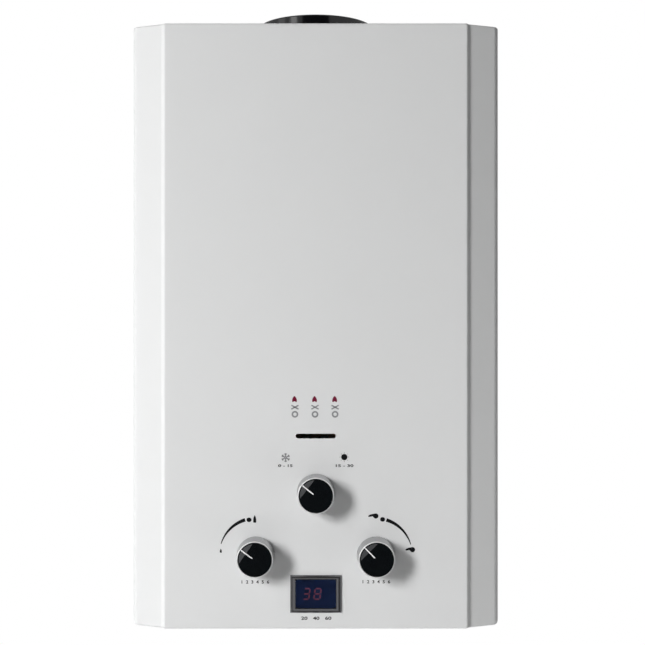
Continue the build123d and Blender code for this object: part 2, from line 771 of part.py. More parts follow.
def water_coil():
    """Copper pipe from the water section, once round the chamber and up into the exchanger."""
    side = COIL_SIDE
    front = EXCHANGER_FRONT - COIL_GAP - COIL_R
    rear = -EXCHANGER_REAR + COIL_GAP + COIL_R
    inlet_x = TUBE_END
    inlet_y = tube_ys()[0]
    riser_x = inlet_x + COIL_BEND + COIL_RISER_GAP
    z = COIL_LOW_Z
    points = [
        (WATER_RIGHT + OUTLET_BOSS, VALVE_Y, VALVE_Z),
        (side, VALVE_Y, VALVE_Z),
        (side, VALVE_Y, z),
        (side, rear, z + COIL_CLIMBS[0]),
        (-side, rear, z + COIL_CLIMBS[1]),
        (-side, front, z + COIL_CLIMBS[2]),
        (side, front, z + COIL_CLIMBS[3]),
        (riser_x, inlet_y, z + COIL_CLIMBS[4]),
        (riser_x, inlet_y, TUBE_Z),
        (inlet_x, inlet_y, TUBE_Z),
    ]
    return pipe(points, COIL_R, COIL_BEND)


def hot_pipe():
    """Copper pipe from the last exchanger tube down to the hot union."""
    outlet_y = tube_ys()[-1]
    points = [
        (TUBE_END, outlet_y, TUBE_Z),
        (HOT_PIPE_X, outlet_y, TUBE_Z),
        (HOT_PIPE_X, outlet_y, HOT_OFFSET_Z),
        (HOT_PIPE_X, UNION_Y, HOT_OFFSET_Z - HOT_OFFSET_RUN),
        (HOT_PIPE_X, UNION_Y, BOSS_DROP),
    ]
    return pipe(points, HOT_PIPE_R, HOT_PIPE_BEND)


# Burner
def bar_xs():
    """Middle of each burner bar, from left to right."""
    return [(i - (BAR_COUNT - 1) / 2) * BAR_PITCH for i in range(BAR_COUNT)]


def burner_bars():
    front, back = EXCHANGER_Y - BAR_DEPTH / 2, EXCHANGER_Y + BAR_DEPTH / 2
    half, neck = BAR_WIDTH / 2, BAR_NECK / 2
    section = [
        (-neck, BAR_TOP),
        (neck, BAR_TOP),
        (half, BAR_TOP - BAR_HEAD),
        (neck, BAR_TOP - 2 * BAR_HEAD),
        (neck, VENTURI_Z + VENTURI_R + BAR_SHOULDER),
        (half, VENTURI_Z + BAR_SHOULDER),
        (half, BAR_BOTTOM),
        (-half, BAR_BOTTOM),
        (-half, VENTURI_Z + BAR_SHOULDER),
        (-neck, VENTURI_Z + VENTURI_R + BAR_SHOULDER),
        (-neck, BAR_TOP - 2 * BAR_HEAD),
        (-half, BAR_TOP - BAR_HEAD),
    ]
    profile = Plane.XZ * make_face(Polyline(*section, close=True))
    bar = Pos(0, back, 0) * extrude(profile, BAR_DEPTH)
    bar += rod_y(VENTURI_R, front, front - VENTURI_LENGTH, 0, VENTURI_Z)
    bar -= rod_y(VENTURI_BORE_R, front + VENTURI_DEPTH, front - VENTURI_LENGTH - CUT, 0, VENTURI_Z)
    port = PORT_WIDTH / 2
    bar -= box(-port, port, front + PORT_INSET, back - PORT_INSET, BAR_TOP - PORT_DEPTH, BAR_TOP + CUT)
    return group([Pos(x, 0, 0) * bar for x in bar_xs()])


def burner_tray():
    half_w, half_d = EXCHANGER_WIDTH / 2 + TRAY_RIM, EXCHANGER_DEPTH / 2 + TRAY_RIM
    y0, y1 = EXCHANGER_Y - half_d, EXCHANGER_Y + half_d
    bottom = BAR_BOTTOM - TRAY_SHEET
    tray = box(-half_w, half_w, y0, y1, bottom, TRAY_TOP)
    tray -= box(
        -half_w + TRAY_SHEET,
        half_w - TRAY_SHEET,
        y0 + TRAY_SHEET,
        y1 - TRAY_SHEET,
        BAR_BOTTOM,
        TRAY_TOP - TRAY_SHEET,
    )
    mouth_w, mouth_d = EXCHANGER_WIDTH / 2 - TRAY_RIM, EXCHANGER_DEPTH / 2 - TRAY_RIM
    tray -= box(
        -mouth_w, mouth_w, EXCHANGER_Y - mouth_d, EXCHANGER_Y + mouth_d, BAR_BOTTOM, TRAY_TOP + CUT
    )
    tray -= box(-mouth_w, mouth_w, y0 + TRAY_LIP, y1 - TRAY_LIP, bottom - CUT, BAR_BOTTOM + CUT)
    for x in bar_xs():
        tray -= rod_y(VENTURI_R + VENTURI_GAP, y0 - CUT, y0 + TRAY_SHEET + CUT, x, VENTURI_Z)
    return tray


def gas_manifold():
    half = MANIFOLD_SIZE / 2
    bar = box(
        -MANIFOLD_LENGTH / 2,
        MANIFOLD_LENGTH / 2,
        MANIFOLD_FRONT,
        MANIFOLD_BACK,
        SEASON_Z - half,
        SEASON_Z + half,
    )
    bar = fillet(bar.edges().filter_by(Axis.X), MANIFOLD_BEND)
    for side in (-1, 1):
        x0 = side * (MANIFOLD_LENGTH / 2 - MANIFOLD_EAR)
        x1 = side * MANIFOLD_LENGTH / 2
        low, sheet = SEASON_Z - half, MANIFOLD_EAR_SHEET
        bar += box(x0, x1, MANIFOLD_BACK - 2 * MANIFOLD_BEND, TRAY_FRONT, low, low + sheet)
        bar += box(x0, x1, TRAY_FRONT - sheet, TRAY_FRONT, low, SEASON_Z + half)
    return bar + manifold_neck()


def manifold_neck():
    """Gas leg from the manifold down to its foot on the front of the gas section."""
    half, foot_half = NECK_WIDTH / 2, NECK_FOOT_WIDTH / 2
    foot_low = VALVE_Z + BOSS_R + SEAT_GAP
    front = MANIFOLD_FRONT + NECK_INSET
    top = VENTURI_Z - JET_R - SEAT_GAP
    leg = box(-VALVE_SPREAD - half, -VALVE_SPREAD + half, front, BODY_FRONT, foot_low, top)
    leg = fillet(leg.edges().filter_by(Axis.Z), NECK_BEND)
    foot = box(
        -VALVE_SPREAD - foot_half,
        -VALVE_SPREAD + foot_half,
        BODY_FRONT - NECK_FOOT_SHEET,
        BODY_FRONT,
        foot_low,
        BODY_TOP,
    )
    return leg + foot


def gas_jets():
    tip = MANIFOLD_BACK + JET_LENGTH
    profile = [
        (JET_BORE_R, MANIFOLD_BACK),
        (JET_R, MANIFOLD_BACK),
        (JET_R, tip - JET_TIP),
        (JET_R / 2, tip),
        (JET_BORE_R, tip),
    ]
    return group([revolved_y(profile, x, VENTURI_Z) for x in bar_xs()])


def season_valve():
    valve = box(
        -SEASON_FLANGE_WIDTH / 2,
        SEASON_FLANGE_WIDTH / 2,
        MANIFOLD_FRONT - SEASON_FLANGE,
        MANIFOLD_FRONT,
        SEASON_Z - MANIFOLD_SIZE / 2,
        SEASON_Z + MANIFOLD_SIZE / 2,
    )
    boss_front = MANIFOLD_FRONT - SEASON_BOSS
    valve += rod_y(SEASON_BOSS_R, boss_front, MANIFOLD_FRONT, 0, SEASON_Z)
    return valve - rod_y(SPINDLE_R + RUN, boss_front - CUT, MANIFOLD_FRONT - SPINDLE_STOP, 0, SEASON_Z)


# Knobs with their caps and spindles
def knob_skirt(x, z):
    """Tapered silver skirt: hollow behind, recessed in front for the cap."""
    face = KNOB_FACE
    base = KNOB_BASE
    inner_face = face + KNOB_RECESS + KNOB_WALL
    profile = [
        (0, face + KNOB_RECESS),
        (CAP_R, face + KNOB_RECESS),
        (CAP_R, face),
        (KNOB_FRONT_R - KNOB_EDGE, face),
        (KNOB_FRONT_R, face + KNOB_EDGE),
        (KNOB_BASE_R, base - KNOB_FOOT),
        (KNOB_BASE_R, base),
        (KNOB_BASE_R - KNOB_WALL, base),
        (KNOB_FRONT_R - KNOB_WALL, inner_face),
        (KNOB_HUB_R, inner_face),
        (KNOB_HUB_R, base - KNOB_FOOT),
        (SPINDLE_R, base - KNOB_FOOT),
        (SPINDLE_R, base - KNOB_FOOT - SPINDLE_SEAT),
        (0, base - KNOB_FOOT - SPINDLE_SEAT),
    ]
    return revolved_y(profile, x, z)


def knob_cap(x, z, pointer):
    """Black cap with its sloping facet and pointer groove, turned to the pointer's angle."""
    back = KNOB_FACE + KNOB_RECESS
    front = KNOB_FACE - CAP_PROUD
    cap = rod_y(CAP_R, front, back, 0, 0)
    cap = chamfer(cap.faces().sort_by(Axis.Y)[0].edges(), CAP_EDGE)
    chord = CAP_CHORD * CAP_R
    rim = CAP_R + CUT
    wedge = [(chord, front), (rim, front + CAP_FALL), (rim, front - CUT), (chord, front - CUT)]
    face = make_face(Polyline(*wedge, close=True))
    cap -= Pos(0, 0, -CAP_R) * extrude(face, 2 * CAP_R)
    cap -= box(
        POINTER_START * CAP_R,
        rim,
        front - CUT,
        front + POINTER_DEPTH,
        -POINTER_WIDTH / 2,
        POINTER_WIDTH / 2,
    )
    return Pos(x, 0, z) * Rot(0, -pointer, 0) * cap


def spindle(x, z, inner_end):
    """Round spindle from its valve out into the knob's hub."""
    return rod_y(SPINDLE_R, KNOB_BASE - KNOB_FOOT - SPINDLE_SEAT, inner_end, x, z)


# Sight window and display
def sight_window():
    return box(
        -PANE_WIDTH / 2,
        PANE_WIDTH / 2,
        INNER_FRONT,
        INNER_FRONT + PANE_THICK,
        SLOT_Z - PANE_HEIGHT / 2,
        SLOT_Z + PANE_HEIGHT / 2,
    )


def sight_window_clip():
    half_w, half_h = PANE_WIDTH / 2, PANE_HEIGHT / 2
    back = INNER_FRONT + PANE_THICK + PANE_CLIP
    clip_w, cut_h = half_w + PANE_CLIP_RIM, half_h + CUT
    clip = box(-clip_w, clip_w, INNER_FRONT, back, SLOT_Z - half_h, SLOT_Z + half_h)
    clip -= box(-half_w, half_w, INNER_FRONT - CUT, back - PANE_CLIP, SLOT_Z - cut_h, SLOT_Z + cut_h)
    opening = box(
        -SLOT_WIDTH / 2, SLOT_WIDTH / 2, INNER_FRONT, back + CUT, SLOT_Z - SLOT_HEIGHT, SLOT_Z + SLOT_HEIGHT
    )
    return clip - opening


def bezel_skirt_width():
    """Width of the bezel where it passes through the cover."""
    return LENS_WIDTH + 2 * BEZEL_SKIRT_MARGIN


def bezel_skirt_height():
    """Height of the bezel where it passes through the cover."""
    return LENS_HEIGHT + 2 * BEZEL_SKIRT_MARGIN


def centred(width, height, y0, y1):
    """A block centred on the display."""
    return box(-width / 2, width / 2, y0, y1, DISPLAY_Z - height / 2, DISPLAY_Z + height / 2)


def display_bezel():
    outline = RectangleRounded(DISPLAY_WIDTH, DISPLAY_HEIGHT, BEZEL_CORNER)
    step = DISPLAY_PROUD - BEZEL_BEVEL
    slope = math.degrees(math.atan2(BEZEL_BEVEL_WIDTH, BEZEL_BEVEL))
    raised = extrude(outline, step) + Pos(0, 0, step) * extrude(outline, BEZEL_BEVEL, taper=slope)
    frame = Pos(0, FRONT, DISPLAY_Z) * Rot(90, 0, 0) * raised
    frame += centred(bezel_skirt_width(), bezel_skirt_height(), FRONT, FRONT + BEZEL_SKIRT_DEPTH)
    back = FRONT + BEZEL_SKIRT_DEPTH
    return frame - centred(LENS_WIDTH, LENS_HEIGHT, FRONT - DISPLAY_PROUD - CUT, back + CUT)


def lens_front():
    """Front face of the lens, set back from the bezel's rim."""
    return FRONT - DISPLAY_PROUD + LENS_RECESS


def display_lens():
    return centred(LENS_WIDTH, LENS_HEIGHT, lens_front(), lens_front() + LENS_THICK)


def segment_bars(digit):
    """Centre, length and direction of each lit bar of one seven-segment digit."""
    lit = {"3": "abgcd", "8": "abcdefg"}[digit]
    half_w, half_h = DIGIT_WIDTH / 2, DIGIT_HEIGHT / 2
    across, upright = DIGIT_WIDTH - DIGIT_STROKE, half_h - DIGIT_STROKE
    bars = {
        "a": (0, half_h, across, 0),
        "b": (half_w, half_h / 2, upright, 1),
        "c": (half_w, -half_h / 2, upright, 1),
        "d": (0, -half_h, across, 0),
        "e": (-half_w, -half_h / 2, upright, 1),
        "f": (-half_w, half_h / 2, upright, 1),
        "g": (0, 0, across, 0),
    }
    return [bars[name] for name in lit]


def digits_front():
    """Front face of the lit bars, just behind the lens."""
    return lens_front() + LENS_THICK


def display_digits():
    y0 = digits_front()
    slope = math.tan(math.radians(DIGIT_SLANT))
    bars = []
    for place, digit in enumerate("38"):
        middle = DIGIT_SHIFT + (place - 0.5) * DIGIT_SPACING
        for x, z, length, upright in segment_bars(digit):
            width = DIGIT_STROKE if upright else length
            height = length if upright else DIGIT_STROKE
            slanted_x = middle + x + z * slope
            bars.append(
                box(
                    slanted_x - width / 2,
                    slanted_x + width / 2,
                    y0,
                    y0 + DIGIT_THICK,
                    DISPLAY_Z + z - height / 2,
                    DISPLAY_Z + z + height / 2,
                )
            )
    return group(bars)


def display_module():
    """The light block behind the digits with its circuit board."""
    front = digits_front() + DIGIT_THICK
    back = front + LED_BLOCK_DEPTH
    block = centred(LENS_WIDTH - 2 * BOARD_GAP, LENS_HEIGHT - 2 * BOARD_GAP, front, back)
    board_back = FRONT + BEZEL_SKIRT_DEPTH + BOARD_THICK
    stem = centred(LENS_WIDTH / 2, LENS_HEIGHT / 2, back, board_back)
    width, height = bezel_skirt_width() + BOARD_RIM, bezel_skirt_height() + BOARD_RIM
    board = centred(width, height, FRONT + BEZEL_SKIRT_DEPTH, board_back)
    return block + stem + board


# Gas section
def gas_valve_body():
    body = rounded_bar(
        GAS_LEFT, GAS_RIGHT, BODY_FRONT, BODY_BACK, BODY_BOTTOM, BODY_TOP, BODY_BEND
    )
    body += rod_y(BOSS_R, BOSS_FRONT, BODY_FRONT, -VALVE_SPREAD, VALVE_Z)
    body += rod_z(INLET_BOSS_R, BOSS_DROP, BODY_BOTTOM, GAS_UNION_X, UNION_Y)
    seat_left = POPPET_SEAT_X - SEAT_WALL
    ring_left = SOLENOID_SEAT_X - SEAT_WALL
    for r, x0, x1 in (
        (GAS_CAVITY_R, GAS_LEFT - CUT, ring_left),
        (SEAT_R, ring_left - CUT, SOLENOID_SEAT_X + CUT),
        (GAS_CAVITY_R, SOLENOID_SEAT_X, seat_left),
        (SEAT_R, seat_left - CUT, CAVITY_END_X),
        (ROD_R + RUN, CAVITY_END_X - CUT, GAS_RIGHT + CUT),
    ):
        body -= rod_x(r, x0, x1, VALVE_Y, VALVE_Z)
    body -= rod_y(
        SPINDLE_R + RUN, BOSS_FRONT - CUT, BODY_FRONT + SPINDLE_DEPTH, -VALVE_SPREAD, VALVE_Z
    )
    for y, z in gas_screw_places():
        body -= rod_x(GAS_CORNER_SCREW_R, GAS_LEFT - CUT, GAS_LEFT + GAS_SCREW_LENGTH + CUT, y, z)
    return body


def gas_screw_places():
    """Corners of the gas section's end cover."""
    y_reach = BODY_DEPTH / 2 - GAS_SCREW_INSET
    z_reach = BODY_HEIGHT / 2 - GAS_SCREW_INSET
    return [(VALVE_Y + a * y_reach, VALVE_Z + b * z_reach) for a in (-1, 1) for b in (-1, 1)]


def gas_valve_cover():
    cover = rounded_bar(
        GAS_LEFT - GAS_COVER_SHEET, GAS_LEFT, BODY_FRONT, BODY_BACK, BODY_BOTTOM, BODY_TOP, BODY_BEND
    )
    left = GAS_LEFT - GAS_COVER_SHEET
    cover -= rod_x(PLUNGER_R + RUN, left - CUT, GAS_LEFT + CUT, VALVE_Y, VALVE_Z)
    for y, z in gas_screw_places():
        cover -= rod_x(GAS_CORNER_SCREW_R, left - CUT, GAS_LEFT + CUT, y, z)
    return cover


def gas_valve_screws():
    left = GAS_LEFT - GAS_COVER_SHEET
    screws = []
    for y, z in gas_screw_places():
        head = rod_x(2 * GAS_CORNER_SCREW_R, left - SCREW_HEAD, left, y, z)
        screws.append(head + rod_x(GAS_CORNER_SCREW_R, left, GAS_LEFT + GAS_SCREW_LENGTH, y, z))
    return group(screws)


def solenoid_valve():
    right = GAS_LEFT - GAS_COVER_SHEET
    left = right - SOLENOID_LENGTH
    can = rod_x(SOLENOID_R, left, right, VALVE_Y, VALVE_Z)
    can = chamfer(can.faces().sort_by(Axis.X)[0].edges(), SOLENOID_EDGE)
    bore_end = left + SOLENOID_END
    return can - rod_x(PLUNGER_R + RUN, bore_end, right + CUT, VALVE_Y, VALVE_Z)


def solenoid_plunger():
    disc_right = SOLENOID_SEAT_X - SEAT_WALL - SEAT_GAP
    disc_left = disc_right - PLUNGER_DISC
    bore_end = GAS_LEFT - GAS_COVER_SHEET - SOLENOID_LENGTH + SOLENOID_END
    stem_left = bore_end + PLUNGER_TRAVEL + PLUNGER_STOP
    plunger = rod_x(PLUNGER_DISC_R, disc_left, disc_right, VALVE_Y, VALVE_Z)
    return plunger + rod_x(PLUNGER_R, stem_left, disc_left, VALVE_Y, VALVE_Z)


def push_rod():
    """Rod with the diaphragm plate, the switch collar and the gas poppet on it."""
    plate_right = water_plane() - SEAT_GAP
    poppet_right = POPPET_SEAT_X - SEAT_WALL - SEAT_GAP
    poppet_left = poppet_right - POPPET_THICK
    rod = rod_x(ROD_R, poppet_left, plate_right, VALVE_Y, VALVE_Z)
    rod += rod_x(ROD_PLATE_R, plate_right - ROD_PLATE, plate_right, VALVE_Y, VALVE_Z)
    rod += rod_x(COLLAR_R, COLLAR_X, COLLAR_X + COLLAR_LENGTH, VALVE_Y, VALVE_Z)
    return rod + rod_x(POPPET_R, poppet_left, poppet_right, VALVE_Y, VALVE_Z)


def return_spring():
    """Sleeve that stands for the closing spring behind the poppet, hidden in the gas section."""
    right = POPPET_SEAT_X - SEAT_WALL - SEAT_GAP - POPPET_THICK
    left = SOLENOID_SEAT_X + ROD_TRAVEL + SEAT_GAP
    spring = rod_x(SPRING_R, left, right, VALVE_Y, VALVE_Z)
    return spring - rod_x(SPRING_R - SPRING_WIRE, left - CUT, right + CUT, VALVE_Y, VALVE_Z)


def lever_pivot():
    """Place of the switch lever's pin: x and z."""
    roller_x = COLLAR_X - SEAT_GAP - ROLLER_R
    return roller_x - LEVER_OFFSET, VALVE_Z + LEVER_PIVOT_RISE


def microswitch():
    pivot_x, pivot_z = lever_pivot()
    bottom = pivot_z + LEVER_BARREL_R + 2 * SEAT_GAP
    top, right = bottom + SWITCH_HEIGHT, GAS_RIGHT + SWITCH_LENGTH
    half = SWITCH_DEPTH / 2
    ear_end = half + SWITCH_EAR_SHEET
    switch = box(GAS_RIGHT, right, VALVE_Y - half, VALVE_Y + half, bottom, top)
    for side in (-1, 1):
        y0, y1 = VALVE_Y + side * (LEVER_WIDTH / 2 + SEAT_GAP), VALVE_Y + side * ear_end
        x0, x1 = pivot_x - SWITCH_EAR, pivot_x + SWITCH_EAR
        switch += box(x0, x1, y0, y1, pivot_z - SWITCH_EAR, bottom + SWITCH_EAR)
    return switch + rod_y(LEVER_PIN_R, VALVE_Y - ear_end, VALVE_Y + ear_end, pivot_x, pivot_z)


def microswitch_lever():
    pivot_x, pivot_z = lever_pivot()
    half = LEVER_WIDTH / 2
    tip = pivot_z - LEVER_ARM
    y0, y1 = VALVE_Y - half, VALVE_Y + half
    left = pivot_x - LEVER_SHEET / 2
    roller_x = pivot_x + LEVER_OFFSET
    lever = rod_y(LEVER_BARREL_R, y0, y1, pivot_x, pivot_z)
    lever += box(left, left + LEVER_SHEET, y0, y1, tip, pivot_z)
    lever += box(left, roller_x, y0, y1, tip - LEVER_SHEET, tip + LEVER_SHEET)
    lever += rod_y(ROLLER_R, y0, y1, roller_x, tip)
    return lever - rod_y(LEVER_PIN_R + RUN, y0 - CUT, y1 + CUT, pivot_x, pivot_z)


# Water section
def water_plane():
    """Where the diaphragm meets its cover."""
    return WATER_LEFT - DISC_THICK - DIAPHRAGM_THICK


def disc_bolt_places():
    """Bolts round the diaphragm, as y and z."""
    places = []
    for i in range(DISC_BOLTS):
        angle = math.radians(360 * (i + 0.5) / DISC_BOLTS)
        y = VALVE_Y + DISC_BOLT_CIRCLE_R * math.cos(angle)
        places.append((y, VALVE_Z + DISC_BOLT_CIRCLE_R * math.sin(angle)))
    return places


def with_bolt_holes(disc, x0, x1):
    """The disc with its ring of bolt holes."""
    for y, z in disc_bolt_places():
        disc -= rod_x(DISC_BOLT_R, x0 - CUT, x1 + CUT, y, z)
    return disc


def water_valve_body():
    body = rounded_bar(
        WATER_LEFT, WATER_RIGHT, BODY_FRONT, BODY_BACK, BODY_BOTTOM, BODY_TOP, BODY_BEND
    )
    disc = rod_x(DISC_R, WATER_LEFT - DISC_THICK, WATER_LEFT, VALVE_Y, VALVE_Z)
    body += with_bolt_holes(disc, WATER_LEFT - DISC_THICK, WATER_LEFT)
    body += rod_y(BOSS_R, BOSS_FRONT, BODY_FRONT, VALVE_SPREAD, VALVE_Z)
    body += rod_z(INLET_BOSS_R, BOSS_DROP, BODY_BOTTOM, COLD_UNION_X, UNION_Y)
    body += rod_x(OUTLET_BOSS_R, WATER_RIGHT, WATER_RIGHT + OUTLET_BOSS, VALVE_Y, VALVE_Z)
    body -= rod_y(
        SPINDLE_R + RUN, BOSS_FRONT - CUT, BODY_FRONT + SPINDLE_DEPTH, VALVE_SPREAD, VALVE_Z
    )
    bore_end = BODY_BOTTOM + DRAIN_STEM + CUT
    body -= rod_z(DRAIN_STEM_R + RUN, BODY_BOTTOM - CUT, bore_end, DRAIN_X, DRAIN_Y)
    return body


def water_valve_cover():
    x1 = water_plane()
    x0 = x1 - WATER_COVER_THICK
    cover = rod_x(DISC_R, x0, x1, VALVE_Y, VALVE_Z)
    cover = chamfer(cover.faces().sort_by(Axis.X)[0].edges(), WATER_COVER_EDGE)
    cover = with_bolt_holes(cover, x0, x1)
    cover += rod_x(GLAND_R, x0 - GLAND_LENGTH, x0, VALVE_Y, VALVE_Z)
    cover -= rod_x(WATER_CAVITY_R, x1 - WATER_CAVITY_DEPTH, x1 + CUT, VALVE_Y, VALVE_Z)
    return cover - rod_x(ROD_R + RUN, x0 - GLAND_LENGTH - CUT, x1, VALVE_Y, VALVE_Z)


def diaphragm():
    x0 = water_plane()
    x1 = x0 + DIAPHRAGM_THICK
    return with_bolt_holes(rod_x(DISC_R, x0, x1, VALVE_Y, VALVE_Z), x0, x1)


def diaphragm_bolts():
    x0 = water_plane() - WATER_COVER_THICK
    bolts = []
    for y, z in disc_bolt_places():
        head = rod_x(2 * DISC_BOLT_R, x0 - BOLT_HEAD, x0, y, z)
        bolts.append(head + rod_x(DISC_BOLT_R, x0, WATER_LEFT, y, z))
    return group(bolts)


def drain_plug():
    top = BODY_BOTTOM - SEAT_GAP
    head = rod_z(DRAIN_HEAD_R, top - DRAIN_HEAD, top, DRAIN_X, DRAIN_Y)
    grip = Pos(DRAIN_X, DRAIN_Y, top - DRAIN_HEAD) * extrude(RegularPolygon(DRAIN_GRIP_R, 8), DRAIN_GRIP)
    return head + grip + rod_z(DRAIN_STEM_R, top, BODY_BOTTOM + DRAIN_STEM, DRAIN_X, DRAIN_Y)


# Unions where the house pipes screw on
def union(x):
    """Hexagon and threaded stub below a boss, with the pipe's way through it."""
    top = BOSS_DROP
    shape = hexagon_z(UNION_HEX, top - UNION_HEX_HEIGHT, top, x, UNION_Y)
    shape += rod_z(THREAD_R, STUB_END, top - UNION_HEX_HEIGHT, x, UNION_Y)
    return shape - rod_z(UNION_BORE_R, STUB_END - CUT, top + CUT, x, UNION_Y)


# Battery box
def lid_outline():
    """Battery lid outline seen from above: x0, x1, y0, y1."""
    y0 = -BOX_FRONT
    y1 = y0 + CELL_LENGTH + CELL_NUB + 2 * CONTACT_THICK + 2 * BOX_WALL
    return LID_LEFT, LID_RIGHT, y0, y1


def box_bottom():
    """Lower rim of the battery box, just above the closed lid."""
    return BOTTOM + LID_THICK + LID_GAP


def cell_axis_z():
    """Height of the cells' middle line."""
    return box_bottom() + BOX_CLEARANCE + CELL_R


def hinge_line():
    """Place of the lid's hinge pin: y and z."""
    y1 = lid_outline()[3]
    return y1 + HINGE_R + SEAT_GAP, BOTTOM + HINGE_R


def knuckle_spans():
    """Hinge knuckles along X: the box carries the outer pair, the lid the middle one."""
    x0, x1 = lid_outline()[:2]
    left = (x0 + HINGE_INSET, x0 + HINGE_INSET + HINGE_KNUCKLE)
    right = (x1 - HINGE_INSET - HINGE_KNUCKLE, x1 - HINGE_INSET)
    middle = (left[1] + SEAT_GAP, right[0] - SEAT_GAP)
    return left, middle, right


def cell_xs():
    """Middle line of each cell."""
    first = lid_outline()[0] + BOX_WALL + BOX_CLEARANCE + CELL_R
    return first, first + 2 * CELL_R + BOX_CLEARANCE


def battery_box():
    x0, x1, y0, y1 = lid_outline()
    ceiling = cell_axis_z() + CELL_R + BOX_CLEARANCE
    shape = box(x0, x1, y0, y1, box_bottom(), ceiling + BOX_WALL)
    shape -= box(
        x0 + BOX_WALL, x1 - BOX_WALL, y0 + BOX_WALL, y1 - BOX_WALL, box_bottom() - CUT, ceiling
    )
    for y in (y0 + EAR_INSET, y1 - EAR_INSET - EAR_SHEET):
        shape += box(-INNER_SIDE, x0 + BOX_WALL, y, y + EAR_SHEET, ceiling - EAR_HEIGHT, ceiling + BOX_WALL)
    hinge_y, hinge_z = hinge_line()
    left, middle, right = knuckle_spans()
    for a, b in (left, right):
        shape += rod_x(HINGE_R, a, b, hinge_y, hinge_z)
        shape += box(a, b, y1 - BOX_WALL / 2, hinge_y + HINGE_R, hinge_z, box_bottom() + 2 * HINGE_R)
        shape -= rod_x(HINGE_PIN_R, a - CUT, b + CUT, hinge_y, hinge_z)
    return shape


def lid_hinge_pin():
    hinge_y, hinge_z = hinge_line()
    left, middle, right = knuckle_spans()
    return rod_x(HINGE_PIN_R, left[0], right[1], hinge_y, hinge_z)


def battery_lid():
    x0, x1, y0, y1 = lid_outline()
    hinge_y, hinge_z = hinge_line()
    left, middle, right = knuckle_spans()
    lid = box(x0 + LID_GAP, x1, y0, y1, BOTTOM, BOTTOM + LID_THICK)
    lid += box(middle[0], middle[1], y1 - BOX_WALL, hinge_y, BOTTOM, BOTTOM + LID_THICK)
    lid += rod_x(HINGE_R, middle[0], middle[1], hinge_y, hinge_z)
    lid -= rod_x(HINGE_PIN_R + RUN, middle[0] - CUT, middle[1] + CUT, hinge_y, hinge_z)
    centre = (x0 + x1) / 2
    half = GRIP_LENGTH / 2
    for i in range(LID_GRIPS):
        y = y0 + GRIP_INSET + GRIP_PITCH * i
        lid -= box(centre - half, centre + half, y, y + GRIP_WIDTH, BOTTOM - CUT, BOTTOM + GRIP_DEPTH)
    return lid


def batteries():
    """Two cells side by side, head to tail."""
    y0, y1 = lid_outline()[2:]
    low, high = y0 + BOX_WALL + CONTACT_THICK, y1 - BOX_WALL - CONTACT_THICK
    z = cell_axis_z()
    cells = []
    for x, nub_end, inwards in zip(cell_xs(), (low, high), (1, -1)):
        shoulder = nub_end + inwards * CELL_NUB
        flat_end = high if inwards > 0 else low
        cells.append(rod_y(CELL_R, shoulder, flat_end, x, z) + rod_y(CELL_NUB_R, nub_end, shoulder, x, z))
    return group(cells)


def battery_contacts():
    y0, y1 = lid_outline()[2:]
    low, high = y0 + BOX_WALL, y1 - BOX_WALL
    half = CONTACT_SIZE / 2
    z = cell_axis_z()
    plates = []
    for x in cell_xs():
        plates.append(box(x - half, x + half, low, low + CONTACT_THICK, z - half, z + half))
        plates.append(box(x - half, x + half, high - CONTACT_THICK, high, z - half, z + half))
    return group(plates)


# Ignition parts, thermostats and brackets
def ignition_module():
    z = BOTTOM + MODULE_RISE
    half_w, half_h = MODULE_WIDTH / 2, MODULE_HEIGHT / 2
    face = PLATE_FRONT - MODULE_DEPTH
    low, high = z - half_h, z + half_h
    case = box(MODULE_X - half_w, MODULE_X + half_w, face, PLATE_FRONT, low, high)
    case = fillet(case.edges().filter_by(Axis.Y), MODULE_BEND)
    blade = BLADE_WIDTH / 2
    y = PLATE_FRONT - MODULE_DEPTH / 2
    for i in range(BLADE_COUNT):
        x = MODULE_X + (i - (BLADE_COUNT - 1) / 2) * BLADE_PITCH
        case += box(x - blade, x + blade, y - 2 * blade, y + 2 * blade, low - BLADE_LENGTH, low)
    return case


def electrode(x):
    """Ceramic body with its wire, pointing back over the burner."""
    z = ELECTRODE_Z
    outer, inner = EXCHANGER_FRONT - ELECTRODE_LENGTH, EXCHANGER_FRONT + ELECTRODE_BACK
    ceramic = rod_y(ELECTRODE_R, outer, inner, x, z)
    return ceramic + rod_y(ELECTRODE_WIRE_R, outer - ELECTRODE_TAIL, inner + ELECTRODE_TIP, x, z)


def electrode_brackets():
    z = ELECTRODE_Z
    y0 = EXCHANGER_FRONT - BRACKET_SHEET
    plates = []
    rim = ELECTRODE_R + ELECTRODE_RIM
    for x0, x1 in ((SPARK_XS[0] - rim, SPARK_XS[1] + rim), (SENSOR_X - rim, SENSOR_X + rim)):
        plate = box(x0, x1, y0, EXCHANGER_FRONT, z - ELECTRODE_PLATE, z + ELECTRODE_PLATE)
        for x in (*SPARK_XS, SENSOR_X):
            plate -= rod_y(ELECTRODE_R, y0 - CUT, EXCHANGER_FRONT + CUT, x, z)
        plates.append(plate)
    return group(plates)


def thermostat():
    """Disc thermostat standing on its seat, with two blade tabs."""
    disc = rod_z(THERMOSTAT_R, 0, THERMOSTAT_HEIGHT, 0, 0)
    disc += rod_z(THERMOSTAT_R + THERMOSTAT_RIM, 0, THERMOSTAT_RIM, 0, 0)
    half = THERMOSTAT_BLADE / 2
    tip = THERMOSTAT_HEIGHT + THERMOSTAT_TAB
    for side in (-1, 1):
        x = side * THERMOSTAT_R / 2
        disc += box(x - half, x + half, -CONTACT_THICK, CONTACT_THICK, THERMOSTAT_HEIGHT / 2, tip)
    return disc


